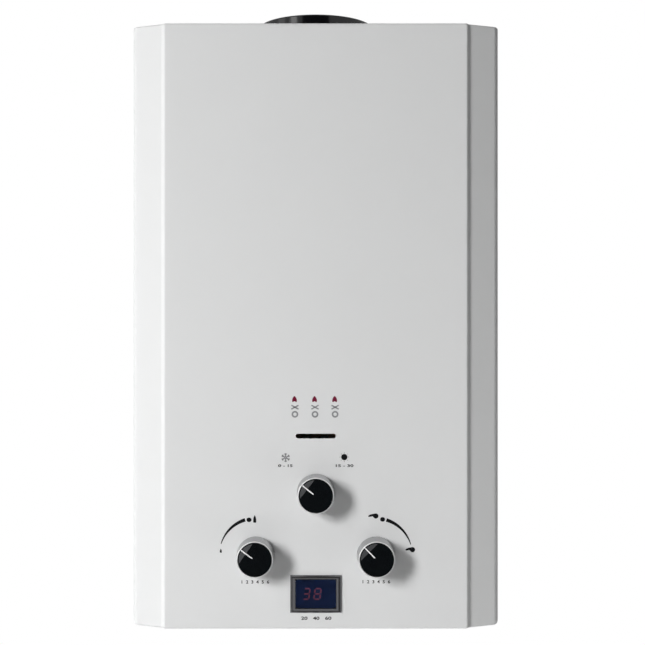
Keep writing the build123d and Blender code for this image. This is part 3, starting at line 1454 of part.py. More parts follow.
def thermostats():
    """One on the exchanger against overheating, one beside the collar against spilling flue gas."""
    reach = THERMOSTAT_R + THERMOSTAT_RIM + THERMOSTAT_INSET
    place = Pos(THERMOSTAT_X, EXCHANGER_FRONT, EXCHANGER_TOP - reach)
    on_exchanger = place * Rot(90, 0, 0) * thermostat()
    x = HOOD_TOP_WIDTH / 2 - reach
    y = -FLUE_SETBACK - HOOD_TOP_DEPTH / 2 + reach
    return group([on_exchanger, Pos(x, y, HOOD_TOP) * thermostat()])


def chamber_brackets():
    """Two hat-shaped straps between the back plate and the chamber."""
    straps = []
    for z in (CHAMBER_BOTTOM + STRAP_LOW_RISE, EXCHANGER_BOTTOM - STRAP_HIGH_DROP):
        half_w, half_h, foot_h = STRAP_WIDTH / 2, STRAP_HEIGHT / 2, STRAP_HEIGHT / 2 + STRAP_FOOT
        face, inner_h, cut_w = -EXCHANGER_REAR + BRACKET_SHEET, half_h - BRACKET_SHEET, half_w + CUT
        strap = box(-half_w, half_w, -EXCHANGER_REAR, PLATE_FRONT, z - half_h, z + half_h)
        strap += box(-half_w, half_w, PLATE_FRONT - BRACKET_SHEET, PLATE_FRONT, z - foot_h, z + foot_h)
        strap -= box(-cut_w, cut_w, face, PLATE_FRONT + CUT, z - inner_h, z + inner_h)
        straps.append(strap)
    return group(straps)


def valve_brackets():
    """Arms from the back plate to the backs of the gas and water sections."""
    arms = []
    low, high = VALVE_Z - ARM_HEIGHT / 2, VALVE_Z + ARM_HEIGHT / 2
    for x in ARM_XS:
        arm = box(x, x + BRACKET_SHEET, BODY_BACK, PLATE_FRONT, low, high)
        arm += box(x, x + ARM_FOOT, BODY_BACK, BODY_BACK + BRACKET_SHEET, low, high)
        arm += box(x, x + ARM_FOOT, PLATE_FRONT - BRACKET_SHEET, PLATE_FRONT, low, high)
        arms.append(arm)
    return group(arms)


def pipe_bracket():
    """Shelf from the back plate that holds the hot union."""
    x0, x1 = HOT_PIPE_X - SHELF_REACH, HOT_PIPE_X + SHELF_REACH
    z = BOSS_DROP
    shelf = box(x0, x1, UNION_Y - SHELF_REACH, PLATE_FRONT, z, z + BRACKET_SHEET)
    shelf -= rod_z(HOT_PIPE_R, z - CUT, z + BRACKET_SHEET + CUT, HOT_PIPE_X, UNION_Y)
    return shelf + box(x0, x1, PLATE_FRONT - BRACKET_SHEET, PLATE_FRONT, z - SHELF_FOOT, z + BRACKET_SHEET)


def make_parts():
    """Build every piece."""
    save("front_cover", front_cover())
    save("cover_screws", cover_screws())
    save("back_plate", back_plate())
    save("flue_collar", flue_collar())
    save("draft_hood", draft_hood())
    save("heat_exchanger", heat_exchanger())
    save("return_bends", return_bends())
    save("combustion_chamber", combustion_chamber())
    save("water_coil", water_coil())
    save("hot_pipe", hot_pipe())
    save("burner_bars", burner_bars())
    save("burner_tray", burner_tray())
    save("gas_manifold", gas_manifold())
    save("gas_jets", gas_jets())
    save("season_valve", season_valve())
    valve_end = BODY_FRONT + SPINDLE_DEPTH - SPINDLE_STOP
    knobs = (
        ("season", 0, SEASON_Z, SEASON_POINTER, MANIFOLD_FRONT - 2 * SPINDLE_STOP),
        ("gas", -VALVE_SPREAD, VALVE_Z, GAS_POINTER, valve_end),
        ("water", VALVE_SPREAD, VALVE_Z, WATER_POINTER, valve_end),
    )
    for name, x, z, pointer, inner_end in knobs:
        save(name + "_knob", knob_skirt(x, z))
        save(name + "_knob_cap", knob_cap(x, z, pointer))
        save(name + "_spindle", spindle(x, z, inner_end))
    save("sight_window", sight_window())
    save("sight_window_clip", sight_window_clip())
    save("display_bezel", display_bezel())
    save("display_lens", display_lens())
    save("display_digits", display_digits())
    save("display_module", display_module())
    save("gas_valve_body", gas_valve_body())
    save("gas_valve_cover", gas_valve_cover())
    save("gas_valve_screws", gas_valve_screws())
    save("solenoid_valve", solenoid_valve())
    save("solenoid_plunger", solenoid_plunger())
    save("push_rod", push_rod())
    save("return_spring", return_spring())
    save("microswitch", microswitch())
    save("microswitch_lever", microswitch_lever())
    save("water_valve_body", water_valve_body())
    save("water_valve_cover", water_valve_cover())
    save("diaphragm", diaphragm())
    save("diaphragm_bolts", diaphragm_bolts())
    save("drain_plug", drain_plug())
    save("gas_union", union(GAS_UNION_X))
    save("cold_union", union(COLD_UNION_X))
    save("hot_union", union(HOT_PIPE_X))
    save("battery_box", battery_box())
    save("lid_hinge_pin", lid_hinge_pin())
    save("battery_lid", battery_lid())
    save("batteries", batteries())
    save("battery_contacts", battery_contacts())
    save("ignition_module", ignition_module())
    save("spark_electrodes", group([electrode(x) for x in SPARK_XS]))
    save("flame_sensor", electrode(SENSOR_X))
    save("electrode_brackets", electrode_brackets())
    save("thermostats", thermostats())
    save("chamber_brackets", chamber_brackets())
    save("valve_brackets", valve_brackets())
    save("pipe_bracket", pipe_bracket())


def main():
    os.makedirs("parts", exist_ok=True)
    make_parts()
    for name, shape in parts.items():
        export_step(shape, "parts/" + name + ".step")


main()
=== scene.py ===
import json
import math

import bmesh
import bpy
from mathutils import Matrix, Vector


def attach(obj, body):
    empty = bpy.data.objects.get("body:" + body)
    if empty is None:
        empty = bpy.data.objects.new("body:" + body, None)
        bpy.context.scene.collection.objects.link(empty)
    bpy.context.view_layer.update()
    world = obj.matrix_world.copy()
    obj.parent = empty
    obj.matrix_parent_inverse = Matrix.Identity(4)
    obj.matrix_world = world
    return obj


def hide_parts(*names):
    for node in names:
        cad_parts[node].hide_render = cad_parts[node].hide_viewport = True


# Wall-hung gas water heater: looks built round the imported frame.
# Lengths are in millimetres, and those of the camera, lamps, floor and dark side in metres.
MM = 0.001

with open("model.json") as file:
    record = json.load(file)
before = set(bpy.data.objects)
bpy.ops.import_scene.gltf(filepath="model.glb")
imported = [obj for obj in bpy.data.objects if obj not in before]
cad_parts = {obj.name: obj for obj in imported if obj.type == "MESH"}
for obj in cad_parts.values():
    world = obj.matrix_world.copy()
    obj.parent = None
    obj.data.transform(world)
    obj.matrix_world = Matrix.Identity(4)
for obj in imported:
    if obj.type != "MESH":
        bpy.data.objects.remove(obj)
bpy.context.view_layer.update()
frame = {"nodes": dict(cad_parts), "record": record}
nodes = frame["nodes"]

# Shared depths, and places as x and z on the front panel
PANEL_Y = -150.0
KNOB_BACK_Y = -150.8
KNOB_FACE_Y = -169.6
CAP_FRONT_Y = KNOB_FACE_Y - 0.64
SEASON_PLACE = (0.0, -380.5)
GAS_PLACE = (-53.4, -436.3)
WATER_PLACE = (53.4, -436.3)
DISPLAY_Z = -470.6


# Modelling by hand
def clear_selection():
    """Leave edit mode and pick nothing."""
    if bpy.context.object and bpy.context.object.mode != "OBJECT":
        bpy.ops.object.mode_set(mode="OBJECT")
    bpy.ops.object.select_all(action="DESELECT")


def pick(piece):
    """Make one piece the only picked and active one."""
    clear_selection()
    piece.select_set(True)
    bpy.context.view_layer.objects.active = piece


def settle(piece):
    """Put a piece's place, turn and size into its mesh."""
    pick(piece)
    bpy.ops.object.transform_apply(location=True, rotation=True, scale=True)
    return piece


def edit(piece, kind="FACE", chosen=None):
    """Go into edit mode with the faces, edges or points that pass the test picked."""
    pick(piece)
    bpy.ops.object.mode_set(mode="EDIT")
    bpy.ops.mesh.select_mode(type=kind)
    bpy.ops.mesh.select_all(action="DESELECT")
    mesh = bmesh.from_edit_mesh(piece.data)
    for item in {"FACE": mesh.faces, "EDGE": mesh.edges, "VERT": mesh.verts}[kind]:
        if chosen is None or chosen(item):
            item.select_set(True)
    mesh.select_flush_mode()
    bmesh.update_edit_mesh(piece.data)


def done(piece):
    """Back to object mode."""
    bpy.ops.object.mode_set(mode="OBJECT")
    return piece


def modify(piece, kind, **settings):
    """Add a modifier with its settings and apply it."""
    pick(piece)
    bpy.ops.object.modifier_add(type=kind)
    modifier = piece.modifiers[-1]
    for key, value in settings.items():
        setattr(modifier, key, value)
    bpy.ops.object.modifier_apply(modifier=modifier.name)
    return piece


def soften(piece, width, segments=3, angle=30.0):
    """Round the edges that are sharper than an angle."""
    return modify(
        piece, "BEVEL", width=width * MM, segments=segments, limit_method="ANGLE",
        angle_limit=math.radians(angle), harden_normals=False,
    )


def smooth(piece, angle):
    """Smooth shading with sharp corners kept and large flat faces left flat."""
    pick(piece)
    bpy.ops.object.shade_smooth_by_angle(angle=math.radians(angle))
    return modify(piece, "WEIGHTED_NORMAL", keep_sharp=True, weight=80)


def block(name, low, high):
    """A block between two corners."""
    clear_selection()
    middle = [(a + b) / 2 * MM for a, b in zip(low, high)]
    bpy.ops.mesh.primitive_cube_add(size=1, location=middle)
    piece = bpy.context.object
    piece.name = name
    piece.scale = [abs(b - a) * MM for a, b in zip(low, high)]
    return settle(piece)


def rod(name, radius, start, end, sides=48):
    """A round bar between two points."""
    clear_selection()
    a, b = Vector(start) * MM, Vector(end) * MM
    turn = (b - a).to_track_quat("Z", "Y").to_euler()
    bpy.ops.mesh.primitive_cylinder_add(
        vertices=sides, radius=radius * MM, depth=(b - a).length, location=(a + b) / 2, rotation=turn
    )
    piece = bpy.context.object
    piece.name = name
    return settle(piece)


def draw_line(name, points):
    """A chain of edges drawn point by point, starting from one point."""
    clear_selection()
    bpy.ops.mesh.primitive_plane_add(size=MM)
    piece = bpy.context.object
    piece.name = name
    bpy.ops.object.mode_set(mode="EDIT")
    bpy.ops.mesh.select_mode(type="VERT")
    bpy.ops.mesh.select_all(action="SELECT")
    bpy.ops.mesh.merge(type="CENTER")
    path = [Vector(p) * MM for p in points]
    bpy.ops.transform.translate(value=path[0])
    for a, b in zip(path, path[1:]):
        bpy.ops.mesh.extrude_region_move(TRANSFORM_OT_translate={"value": b - a})
    return piece


def face_outwards():
    """In edit mode, turn all faces of the piece outwards."""
    bpy.ops.mesh.select_all(action="SELECT")
    bpy.ops.mesh.normals_make_consistent(inside=False)


def turned(name, profile, place, along, sides):
    """A turned piece: its outline, as radius and height, is drawn and spun about its axis."""
    up = Vector((0, 1, 0)) if along == "Y" else Vector((0, 0, 1))
    piece = draw_line(name, [Vector((r, 0, 0)) + up * h for r, h in profile])
    bpy.ops.mesh.select_all(action="SELECT")
    bpy.ops.mesh.spin(steps=sides, angle=math.tau, center=(0, 0, 0), axis=up)
    bpy.ops.mesh.select_all(action="SELECT")
    bpy.ops.mesh.remove_doubles(threshold=1e-6)
    face_outwards()
    done(piece)
    piece.location = Vector(place) * MM
    return settle(piece)


def plate(name, outline, back, thick):
    """A flat plate with an outline in the panel's plane, as x and z, standing forwards from its back."""
    piece = draw_line(name, [(x, back, z) for x, z in outline])
    bpy.ops.mesh.select_all(action="SELECT")
    bpy.ops.mesh.edge_face_add()
    bpy.ops.mesh.extrude_region_move(TRANSFORM_OT_translate={"value": (0, -thick * MM, 0)})
    face_outwards()
    return done(piece)


def cut(piece, cutter):
    """Take the cutter's form out of a piece."""
    modify(piece, "BOOLEAN", object=cutter, operation="DIFFERENCE", solver="MANIFOLD")
    bpy.data.objects.remove(cutter)
    return piece


def split_faces(piece):
    """Split many-cornered faces into triangles, so that a face round a hole keeps the hole open."""
    edit(piece)
    bpy.ops.mesh.quads_convert_to_tris(quad_method="BEAUTY", ngon_method="BEAUTY")
    return done(piece)


def joined(name, pieces):
    """Several meshes as one piece."""
    pick(pieces[0])
    for piece in pieces:
        piece.select_set(True)
    if len(pieces) > 1:
        bpy.ops.object.join()
    pieces[0].name = name
    return pieces[0]


def put_on(piece, body, material, replaced=()):
    """Give a finished piece its material, its body and the frame's pieces that it stands for."""
    if material:
        piece.data.materials.clear()
        piece.data.materials.append(material)
    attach(piece, body)
    if replaced:
        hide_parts(*replaced)


def arc_points(radius, start, end, steps, centre=(0, 0)):
    """Points along an arc, in degrees."""
    turns = [math.radians(start + (end - start) * i / steps) for i in range(steps + 1)]
    return [(centre[0] + radius * math.cos(a), centre[1] + radius * math.sin(a)) for a in turns]


# Shared effects
def new_group(name, inputs, outputs):
    """A shader node group with its named sockets, what comes into it, and its output node."""
    group = bpy.data.node_groups.new(name, "ShaderNodeTree")
    for label, kind, value in inputs:
        made = group.interface.new_socket(name=label, in_out="INPUT", socket_type="NodeSocket" + kind)
        made.default_value = value
    for label, kind in outputs:
        group.interface.new_socket(name=label, in_out="OUTPUT", socket_type="NodeSocket" + kind)
    return group, group.nodes.new("NodeGroupInput").outputs, group.nodes.new("NodeGroupOutput")


def feed(tree, node, inputs):
    """Give a node's inputs, by name or place, a value or another node's output."""
    for key, value in inputs.items():
        if isinstance(value, bpy.types.NodeSocket):
            tree.links.new(value, node.inputs[key])
        else:
            node.inputs[key].default_value = value
    return node


def add(tree, kind, inputs=None, **settings):
    """One node with its settings and inputs."""
    node = tree.nodes.new(kind)
    for key, value in settings.items():
        setattr(node, key, value)
    return feed(tree, node, inputs or {})


def maths(tree, operation, *values, **settings):
    """The result of one operation on numbers."""
    return add(tree, "ShaderNodeMath", dict(enumerate(values)), operation=operation, **settings).outputs[0]


def noise(tree, scale, detail, rough=0.55):
    """Noise on the piece's own coordinates."""
    place = add(tree, "ShaderNodeTexCoord")
    values = {"Vector": place.outputs["Object"], "Scale": scale, "Detail": detail, "Roughness": rough}
    return add(tree, "ShaderNodeTexNoise", values).outputs["Fac"]


def raised(tree, height, strength):
    """The normal of a bump that is a millimetre high at full strength."""
    bump = add(tree, "ShaderNodeBump", {"Distance": MM, "Strength": strength, "Height": height})
    return bump.outputs["Normal"]


def colour_ramp(tree, share, *stops):
    """A blend between two colours from their places along a ramp."""
    ramp = add(tree, "ShaderNodeValToRGB", {0: share})
    for element, (position, colour) in zip(ramp.color_ramp.elements, stops):
        element.position = position
        element.color = (*colour, 1.0)
    return ramp.outputs[0]


def make_uneven_tone():
    """Broad and fine changes of tone, such as thin dirt and uneven coating."""
    group, into, out = new_group(
        "uneven_tone",
        [("Colour", "Color", (0.8, 0.8, 0.8, 1)), ("Amount", "Float", 0.1), ("Scale", "Float", 20.0)],
        [("Colour", "Color")],
    )
    broad = noise(group, into["Scale"], 4.0)
    speck = noise(group, maths(group, "MULTIPLY", into["Scale"], 9.0), 2.0)
    centred = maths(group, "SUBTRACT", maths(group, "ADD", broad, speck), 1.0)
    spread = maths(group, "MULTIPLY_ADD", centred, into["Amount"], 1.0)
    tint = add(group, "ShaderNodeVectorMath", {0: into["Colour"], "Scale": spread}, operation="SCALE")
    feed(group, out, {"Colour": tint.outputs[0]})
    return group


def make_uneven_gloss():
    """Roughness that wanders round its middle value, as handling and wiping leave it."""
    group, into, out = new_group(
        "uneven_gloss",
        [("Roughness", "Float", 0.4), ("Amount", "Float", 0.1), ("Scale", "Float", 30.0)],
        [("Roughness", "Float")],
    )
    centred = maths(group, "SUBTRACT", noise(group, into["Scale"], 5.0, 0.6), 0.5)
    total = maths(group, "MULTIPLY_ADD", centred, into["Amount"], into["Roughness"])
    feed(group, out, {"Roughness": total})
    return group


def make_fine_relief():
    """Small bumps such as orange peel in paint, cast skin or moulded grain."""
    group, into, out = new_group(
        "fine_relief", [("Height", "Float", 0.02), ("Scale", "Float", 900.0)], [("Normal", "Vector")]
    )
    feed(group, out, {"Normal": raised(group, noise(group, into["Scale"], 2.0), into["Height"])})
    return group


def make_drawn_lines():
    """Fine parallel lines that rolling, drawing or turning leaves in metal."""
    group, into, out = new_group(
        "drawn_lines",
        [("Lines", "Vector", (40.0, 900.0, 900.0)), ("Height", "Float", 0.02)],
        [("Normal", "Vector")],
    )
    place = add(group, "ShaderNodeTexCoord")
    stretch = add(
        group, "ShaderNodeVectorMath", {0: place.outputs["Object"], 1: into["Lines"]}, operation="MULTIPLY"
    )
    lines = add(group, "ShaderNodeTexNoise", {"Vector": stretch.outputs[0], "Scale": 1.0, "Detail": 3.0})
    feed(group, out, {"Normal": raised(group, lines.outputs["Fac"], into["Height"])})
    return group


def make_worn_edges():
    """A mask along corners, broken up by noise."""
    group, into, out = new_group(
        "worn_edges", [("Width", "Float", 0.0006), ("Amount", "Float", 1.0)], [("Mask", "Float")]
    )
    rounded = add(group, "ShaderNodeBevel", {"Radius": into["Width"]}, samples=4)
    surface = add(group, "ShaderNodeNewGeometry")
    same = add(
        group, "ShaderNodeVectorMath", {0: rounded.outputs["Normal"], 1: surface.outputs["Normal"]},
        operation="DOT_PRODUCT",
    ).outputs["Value"]
    edge = add(group, "ShaderNodeMapRange", {"Value": same, "From Min": 0.98, "From Max": 0.85}, clamp=True)
    broken = maths(group, "MULTIPLY", edge.outputs[0], noise(group, 160.0, 4.0))
    feed(group, out, {"Mask": maths(group, "MULTIPLY", broken, into["Amount"], use_clamp=True)})
    return group


EFFECTS = {
    "tone": make_uneven_tone(),
    "gloss": make_uneven_gloss(),
    "relief": make_fine_relief(),
    "lines": make_drawn_lines(),
    "edges": make_worn_edges(),
}


def effect(tree, name, **values):
    """The output of a shared effect, placed in a material with its own values."""
    return add(tree, "ShaderNodeGroup", values, node_tree=EFFECTS[name]).outputs[0]


# Materials
def bare_material(name):
    """A new material with its Principled shader."""
    material = bpy.data.materials.new(name)
    material.use_nodes = True
    return material, material.node_tree, material.node_tree.nodes["Principled BSDF"]


def finish(
    name, colour, roughness, metallic=0.0, tone=0.06, tone_scale=18.0, gloss=0.08, gloss_scale=35.0,
    relief=0.0, relief_scale=900.0, lines=None, line_height=0.02, wear=None, wear_width=0.0005,
    coat=0.0, specular=0.5,
):
    """A solid finish: its colour and gloss wander, and it may have relief, drawn lines or worn edges."""
    material, tree, shader = bare_material(name)
    colour_out = effect(tree, "tone", Colour=(*colour, 1.0), Amount=tone, Scale=tone_scale)
    if wear:
        mask = effect(tree, "edges", Width=wear_width, Amount=1.2)
        mix = add(tree, "ShaderNodeMix", {0: mask, 6: colour_out, 7: (*wear, 1.0)}, data_type="RGBA")
        colour_out = mix.outputs[2]
    feed(tree, shader, {
        "Base Color": colour_out, "Metallic": metallic, "Specular IOR Level": specular,
        "Roughness": effect(tree, "gloss", Roughness=roughness, Amount=gloss, Scale=gloss_scale),
        "Coat Weight": coat, "Coat Roughness": 0.05,
    })
    if lines:
        feed(tree, shader, {"Normal": effect(tree, "lines", Lines=lines, Height=line_height)})
    elif relief:
        feed(tree, shader, {"Normal": effect(tree, "relief", Height=relief, Scale=relief_scale)})
    return material


def spangled_zinc():
    """Galvanised sheet with its crystal flakes."""
    material, tree, shader = bare_material("galvanised_sheet")
    place = add(tree, "ShaderNodeTexCoord")
    flakes = add(
        tree, "ShaderNodeTexVoronoi", {"Vector": place.outputs["Object"], "Scale": 300.0, "Randomness": 1.0}
    ).outputs["Color"]
    shade = colour_ramp(tree, flakes, (0.0, (0.50, 0.51, 0.53)), (1.0, (0.66, 0.67, 0.68)))
    rough = add(tree, "ShaderNodeMapRange", {"Value": flakes, "To Min": 0.34, "To Max": 0.56})
    feed(tree, shader, {
        "Metallic": 1.0, "Base Color": effect(tree, "tone", Colour=shade, Amount=0.10, Scale=9.0),
        "Roughness": rough.outputs[0], "Normal": effect(tree, "relief", Height=0.03, Scale=420.0),
    })
    return material


def heated_copper():
    """Copper sheet and tube, browned in clouds by heat."""
    material, tree, shader = bare_material("copper")
    stain = colour_ramp(tree, noise(tree, 26.0, 5.0), (0.35, (0.55, 0.24, 0.13)), (0.62, (0.82, 0.44, 0.29)))
    feed(tree, shader, {
        "Metallic": 1.0, "Base Color": stain,
        "Roughness": effect(tree, "gloss", Roughness=0.33, Amount=0.25, Scale=60.0),
        "Normal": effect(tree, "relief", Height=0.02, Scale=300.0),
    })
    return material


def see_through(name, colour, roughness):
    """Clear or smoked glass with wiped patches."""
    material, tree, shader = bare_material(name)
    feed(tree, shader, {
        "Transmission Weight": 1.0, "IOR": 1.5,
        "Base Color": effect(tree, "tone", Colour=(*colour, 1.0), Amount=0.04, Scale=25.0),
        "Roughness": effect(tree, "gloss", Roughness=roughness, Amount=0.04, Scale=60.0),
    })
    return material


def lit_segments():
    """Red light bars with a dim, slightly uneven glow."""
    material, tree, shader = bare_material("red_segments")
    feed(tree, shader, {
        "Base Color": effect(tree, "tone", Colour=(0.22, 0.04, 0.06, 1.0), Amount=0.15, Scale=300.0),
        "Emission Color": effect(tree, "tone", Colour=(1.0, 0.30, 0.36, 1.0), Amount=0.25, Scale=260.0),
        "Emission Strength": 0.16,
        "Roughness": effect(tree, "gloss", Roughness=0.35, Amount=0.1, Scale=200.0),
    })
    return material


PAINTS = {
    "white_enamel": finish(
        "white_enamel", (0.74, 0.745, 0.745), 0.46, tone=0.012, tone_scale=5.0, gloss=0.06, gloss_scale=14.0,
        relief=0.018, relief_scale=520.0, specular=0.2,
    ),
    "galvanised_steel": spangled_zinc(),
    "aluminised_steel": finish(
        "aluminised_sheet", (0.60, 0.60, 0.59), 0.42, 1.0, tone=0.10, tone_scale=12.0, gloss=0.2,
        relief=0.03, relief_scale=380.0,
    ),
    "black_enamel": finish(
        "black_enamel", (0.004, 0.004, 0.005), 0.14, tone=0.2, tone_scale=10.0, gloss=0.08, gloss_scale=22.0,
        relief=0.015, relief_scale=420.0, specular=0.35,
    ),
    "copper": heated_copper(),
    "stainless_steel": finish(
        "stainless_steel", (0.60, 0.59, 0.57), 0.30, 1.0, tone=0.06, gloss=0.12, lines=(60.0, 60.0, 2400.0),
        line_height=0.03,
    ),
    "zinc_plated_steel": finish(
        "zinc_plate", (0.66, 0.68, 0.70), 0.30, 1.0, tone=0.10, tone_scale=120.0, gloss=0.15,
        gloss_scale=200.0, wear=(0.80, 0.80, 0.80), wear_width=0.0003,
    ),
    "cast_aluminium": finish(
        "cast_aluminium", (0.56, 0.57, 0.58), 0.48, 1.0, tone=0.10, tone_scale=40.0, gloss=0.18,
        relief=0.12, relief_scale=700.0, wear=(0.74, 0.74, 0.75),
    ),
    "brass": finish(
        "machined_brass", (0.70, 0.50, 0.22), 0.32, 1.0, tone=0.14, tone_scale=50.0, gloss=0.18,
        relief=0.04, relief_scale=900.0, wear=(0.86, 0.68, 0.36),
    ),
    "silver_plate": finish(
        "silver_plate", (0.42, 0.42, 0.43), 0.28, 1.0, tone=0.03, gloss=0.05, gloss_scale=120.0,
        lines=(700.0, 60.0, 700.0), line_height=0.012,
    ),
    "black_gloss_plastic": finish(
        "black_gloss_plastic", (0.004, 0.005, 0.006), 0.12, tone=0.2, gloss=0.05, gloss_scale=80.0,
        relief=0.004, relief_scale=700.0, specular=0.35,
    ),
    "dark_chrome": finish(
        "dark_chrome", (0.115, 0.115, 0.12), 0.14, 0.85, tone=0.08, tone_scale=60.0, gloss=0.08,
        gloss_scale=160.0, relief=0.01, relief_scale=600.0,
    ),
    "smoked_lens": see_through("smoked_lens", (0.60, 0.70, 0.88), 0.05),
    "red_light": lit_segments(),
    "dark_plastic": finish(
        "black_moulding", (0.028, 0.028, 0.030), 0.52, tone=0.15, relief=0.08, relief_scale=1400.0,
        wear=(0.06, 0.06, 0.06),
    ),
    "grey_plastic": finish(
        "grey_moulding", (0.30, 0.31, 0.32), 0.48, tone=0.05, relief=0.06, relief_scale=1300.0,
        wear=(0.40, 0.41, 0.42),
    ),
    "clear_glass": see_through("heat_proof_glass", (0.93, 0.95, 0.93), 0.03),
    "black_rubber": finish(
        "black_rubber", (0.02, 0.02, 0.02), 0.72, tone=0.2, relief=0.10, relief_scale=1600.0,
    ),
    "solenoid_finish": finish(
        "coil_wrap", (0.45, 0.07, 0.03), 0.38, tone=0.15, tone_scale=60.0, lines=(2200.0, 20.0, 20.0),
        line_height=0.10,
    ),
    "cell_jacket": finish(
        "cell_jacket", (0.08, 0.18, 0.36), 0.30, tone=0.08, gloss=0.10, coat=0.3,
    ),
    "white_ceramic": finish(
        "glazed_ceramic", (0.80, 0.79, 0.75), 0.22, tone=0.04, gloss=0.08, coat=0.4,
    ),
}
PRINT_BLACK = finish(
    "print_black", (0.006, 0.006, 0.007), 0.34, tone=0.25, tone_scale=200.0, gloss=0.08, gloss_scale=200.0,
    specular=0.2,
)
PRINT_GREY = finish("print_grey", (0.26, 0.26, 0.27), 0.36, tone=0.10, tone_scale=200.0)
PRINT_RED = finish("print_red", (0.16, 0.006, 0.030), 0.36, tone=0.15, tone_scale=200.0)
POINTER_WHITE = finish("pointer_white", (0.86, 0.86, 0.86), 0.32, tone=0.03, tone_scale=200.0)
RIM_SILVER = finish(
    "rolled_rim", (0.90, 0.90, 0.90), 0.34, 0.35, tone=0.02, tone_scale=90.0, gloss=0.05, gloss_scale=120.0
)
FACET_BLACK = finish(
    "knob_facet", (0.046, 0.047, 0.050), 0.42, tone=0.10, tone_scale=150.0, relief=0.05, relief_scale=1800.0
)
DISPLAY_DARK = finish(
    "display_dark", (0.036, 0.059, 0.140), 0.40, tone=0.15, tone_scale=90.0, relief=0.03, relief_scale=900.0
)


def paint_the_frame():
    """Give every carried-over piece of the frame its finish, by its slot in the record."""
    for row in frame["record"]["subparts"]:
        carried = nodes.get(row["node"])
        if carried is None:
            continue
        carried.data.materials.clear()
        carried.data.materials.append(PAINTS[row["material_slot"]])


# Knobs: the cap's facet starts at a chord and drops evenly out to its reach
CAP_RADIUS = 14.85
FACET_REACH = 14.9
FACET_START = 0.59 * FACET_REACH
FACET_DROP = 1.2
KNOB_SIDES = 96
KNOBS = (("season", SEASON_PLACE, 142.0), ("gas", GAS_PLACE, 145.0), ("water", WATER_PLACE, 135.0))


def put_on_axis(piece, place, pointer=0.0):
    """Turn a piece to its pointer's angle and move it onto its knob's axis."""
    piece.rotation_euler = (0, -math.radians(pointer), 0)
    settle(piece)
    piece.location = (place[0] * MM, 0, place[1] * MM)
    return settle(piece)


def knob_skirt(name, place):
    """Silver skirt: turned, with a rolled bright ring round the face and a seat for the cap."""
    face, back = KNOB_FACE_Y, KNOB_BACK_Y
    boss, seat = back - 3.0, face + 4.8
    profile = [
        (0.0, boss), (6.5, boss), (6.5, seat), (14.1, seat), (15.0, back), (16.5, back),
        (16.9, back - 0.15), (17.0, back - 0.5), (17.0, back - 1.0), (16.62, back - 6.5), (16.2, face + 1.9),
        (16.12, face + 1.5), (16.06, face + 1.1), (15.98, face + 0.62), (15.85, face + 0.28),
        (15.65, face + 0.08), (15.42, face), (15.2, face + 0.06), (15.05, face + 0.22), (14.98, face + 0.5),
        (14.95, face + 3.0), (0.0, face + 3.0),
    ]
    skirt = turned(name, profile, (0, 0, 0), "Y", KNOB_SIDES)
    skirt.data.materials.append(PAINTS["silver_plate"])
    skirt.data.materials.append(RIM_SILVER)
    edit(skirt, "FACE", lambda f: f.calc_center_median().y < (face + 0.7) * MM)
    bpy.context.object.active_material_index = 1
    bpy.ops.object.material_slot_assign()
    done(skirt)
    return smooth(put_on_axis(skirt, place), 40)


def knob_cap(name, place, pointer):
    """Black cap: a turned disc with a sloping facet either side of its pointer."""
    front, back, radius = CAP_FRONT_Y, KNOB_FACE_Y + 3.0, CAP_RADIUS
    profile = [
        (0.0, back), (radius, back), (radius, front + 0.45), (radius - 0.12, front + 0.14),
        (radius - 0.42, front + 0.02), (radius - 0.8, front), (0.0, front),
    ]
    cap = turned(name, profile, (0, 0, 0), "Y", KNOB_SIDES)
    slope = Vector((FACET_DROP, FACET_START - FACET_REACH, 0)).normalized()
    edit(cap)
    bpy.ops.mesh.bisect(
        plane_co=Vector((FACET_START, front, 0)) * MM, plane_no=slope, use_fill=True, clear_inner=False,
        clear_outer=True, threshold=1e-6,
    )
    face_outwards()
    done(cap)
    cap.data.materials.append(PAINTS["black_gloss_plastic"])
    cap.data.materials.append(FACET_BLACK)

    def sloping(face):
        return face.normal.dot(slope) > 0.999

    edit(cap, "FACE", sloping)
    bpy.ops.mesh.bisect(plane_co=(0, 0, 0), plane_no=(0, 0, 1), use_fill=False, threshold=1e-6)
    done(cap)
    edit(cap, "FACE", sloping)
    bpy.ops.mesh.inset(thickness=0.75 * MM, depth=-0.10 * MM, use_individual=True)
    bpy.context.object.active_material_index = 1
    bpy.ops.object.material_slot_assign()
    done(cap)
    return smooth(put_on_axis(cap, place, pointer), 30)


def knob_pointer(name, place, pointer):
    """White line let into the cap, from near its middle out over the facet."""
    start, end, half = 0.17 * FACET_REACH, 14.75, 0.55
    line = block(name, (start, CAP_FRONT_Y - 0.05, -half), (end, CAP_FRONT_Y + 0.9, half))
    edit(line)
    bpy.ops.mesh.bisect(plane_co=(FACET_START * MM, 0, 0), plane_no=(1, 0, 0), threshold=1e-6)
    done(line)
    edit(line, "VERT", lambda v: v.co.x > 14 * MM)
    bpy.ops.transform.translate(value=(0, 1.1 * MM, 0))
    done(line)
    soften(line, 0.12, 2)
    return smooth(put_on_axis(line, place, pointer), 40)


def make_knobs():
    """The three knobs, each with its skirt, cap and pointer at the photographed angle."""
    for kind, place, pointer in KNOBS:
        body = kind + "_control"
        skirt = knob_skirt(kind + "_knob_skirt", place)
        put_on(skirt, body, None, [kind + "_knob"])
        cap = knob_cap(kind + "_knob_face", place, pointer)
        put_on(cap, body, None, [kind + "_knob_cap"])
        line = knob_pointer(kind + "_knob_pointer", place, pointer)
        put_on(line, body, POINTER_WHITE)


# Display: half widths and half heights
FRAME_HALF = (45.4 / 2, 33.3 / 2)
OPENING_HALF = (36.0 / 2, 25.7 / 2)
OPENING_CORNER = 2.0


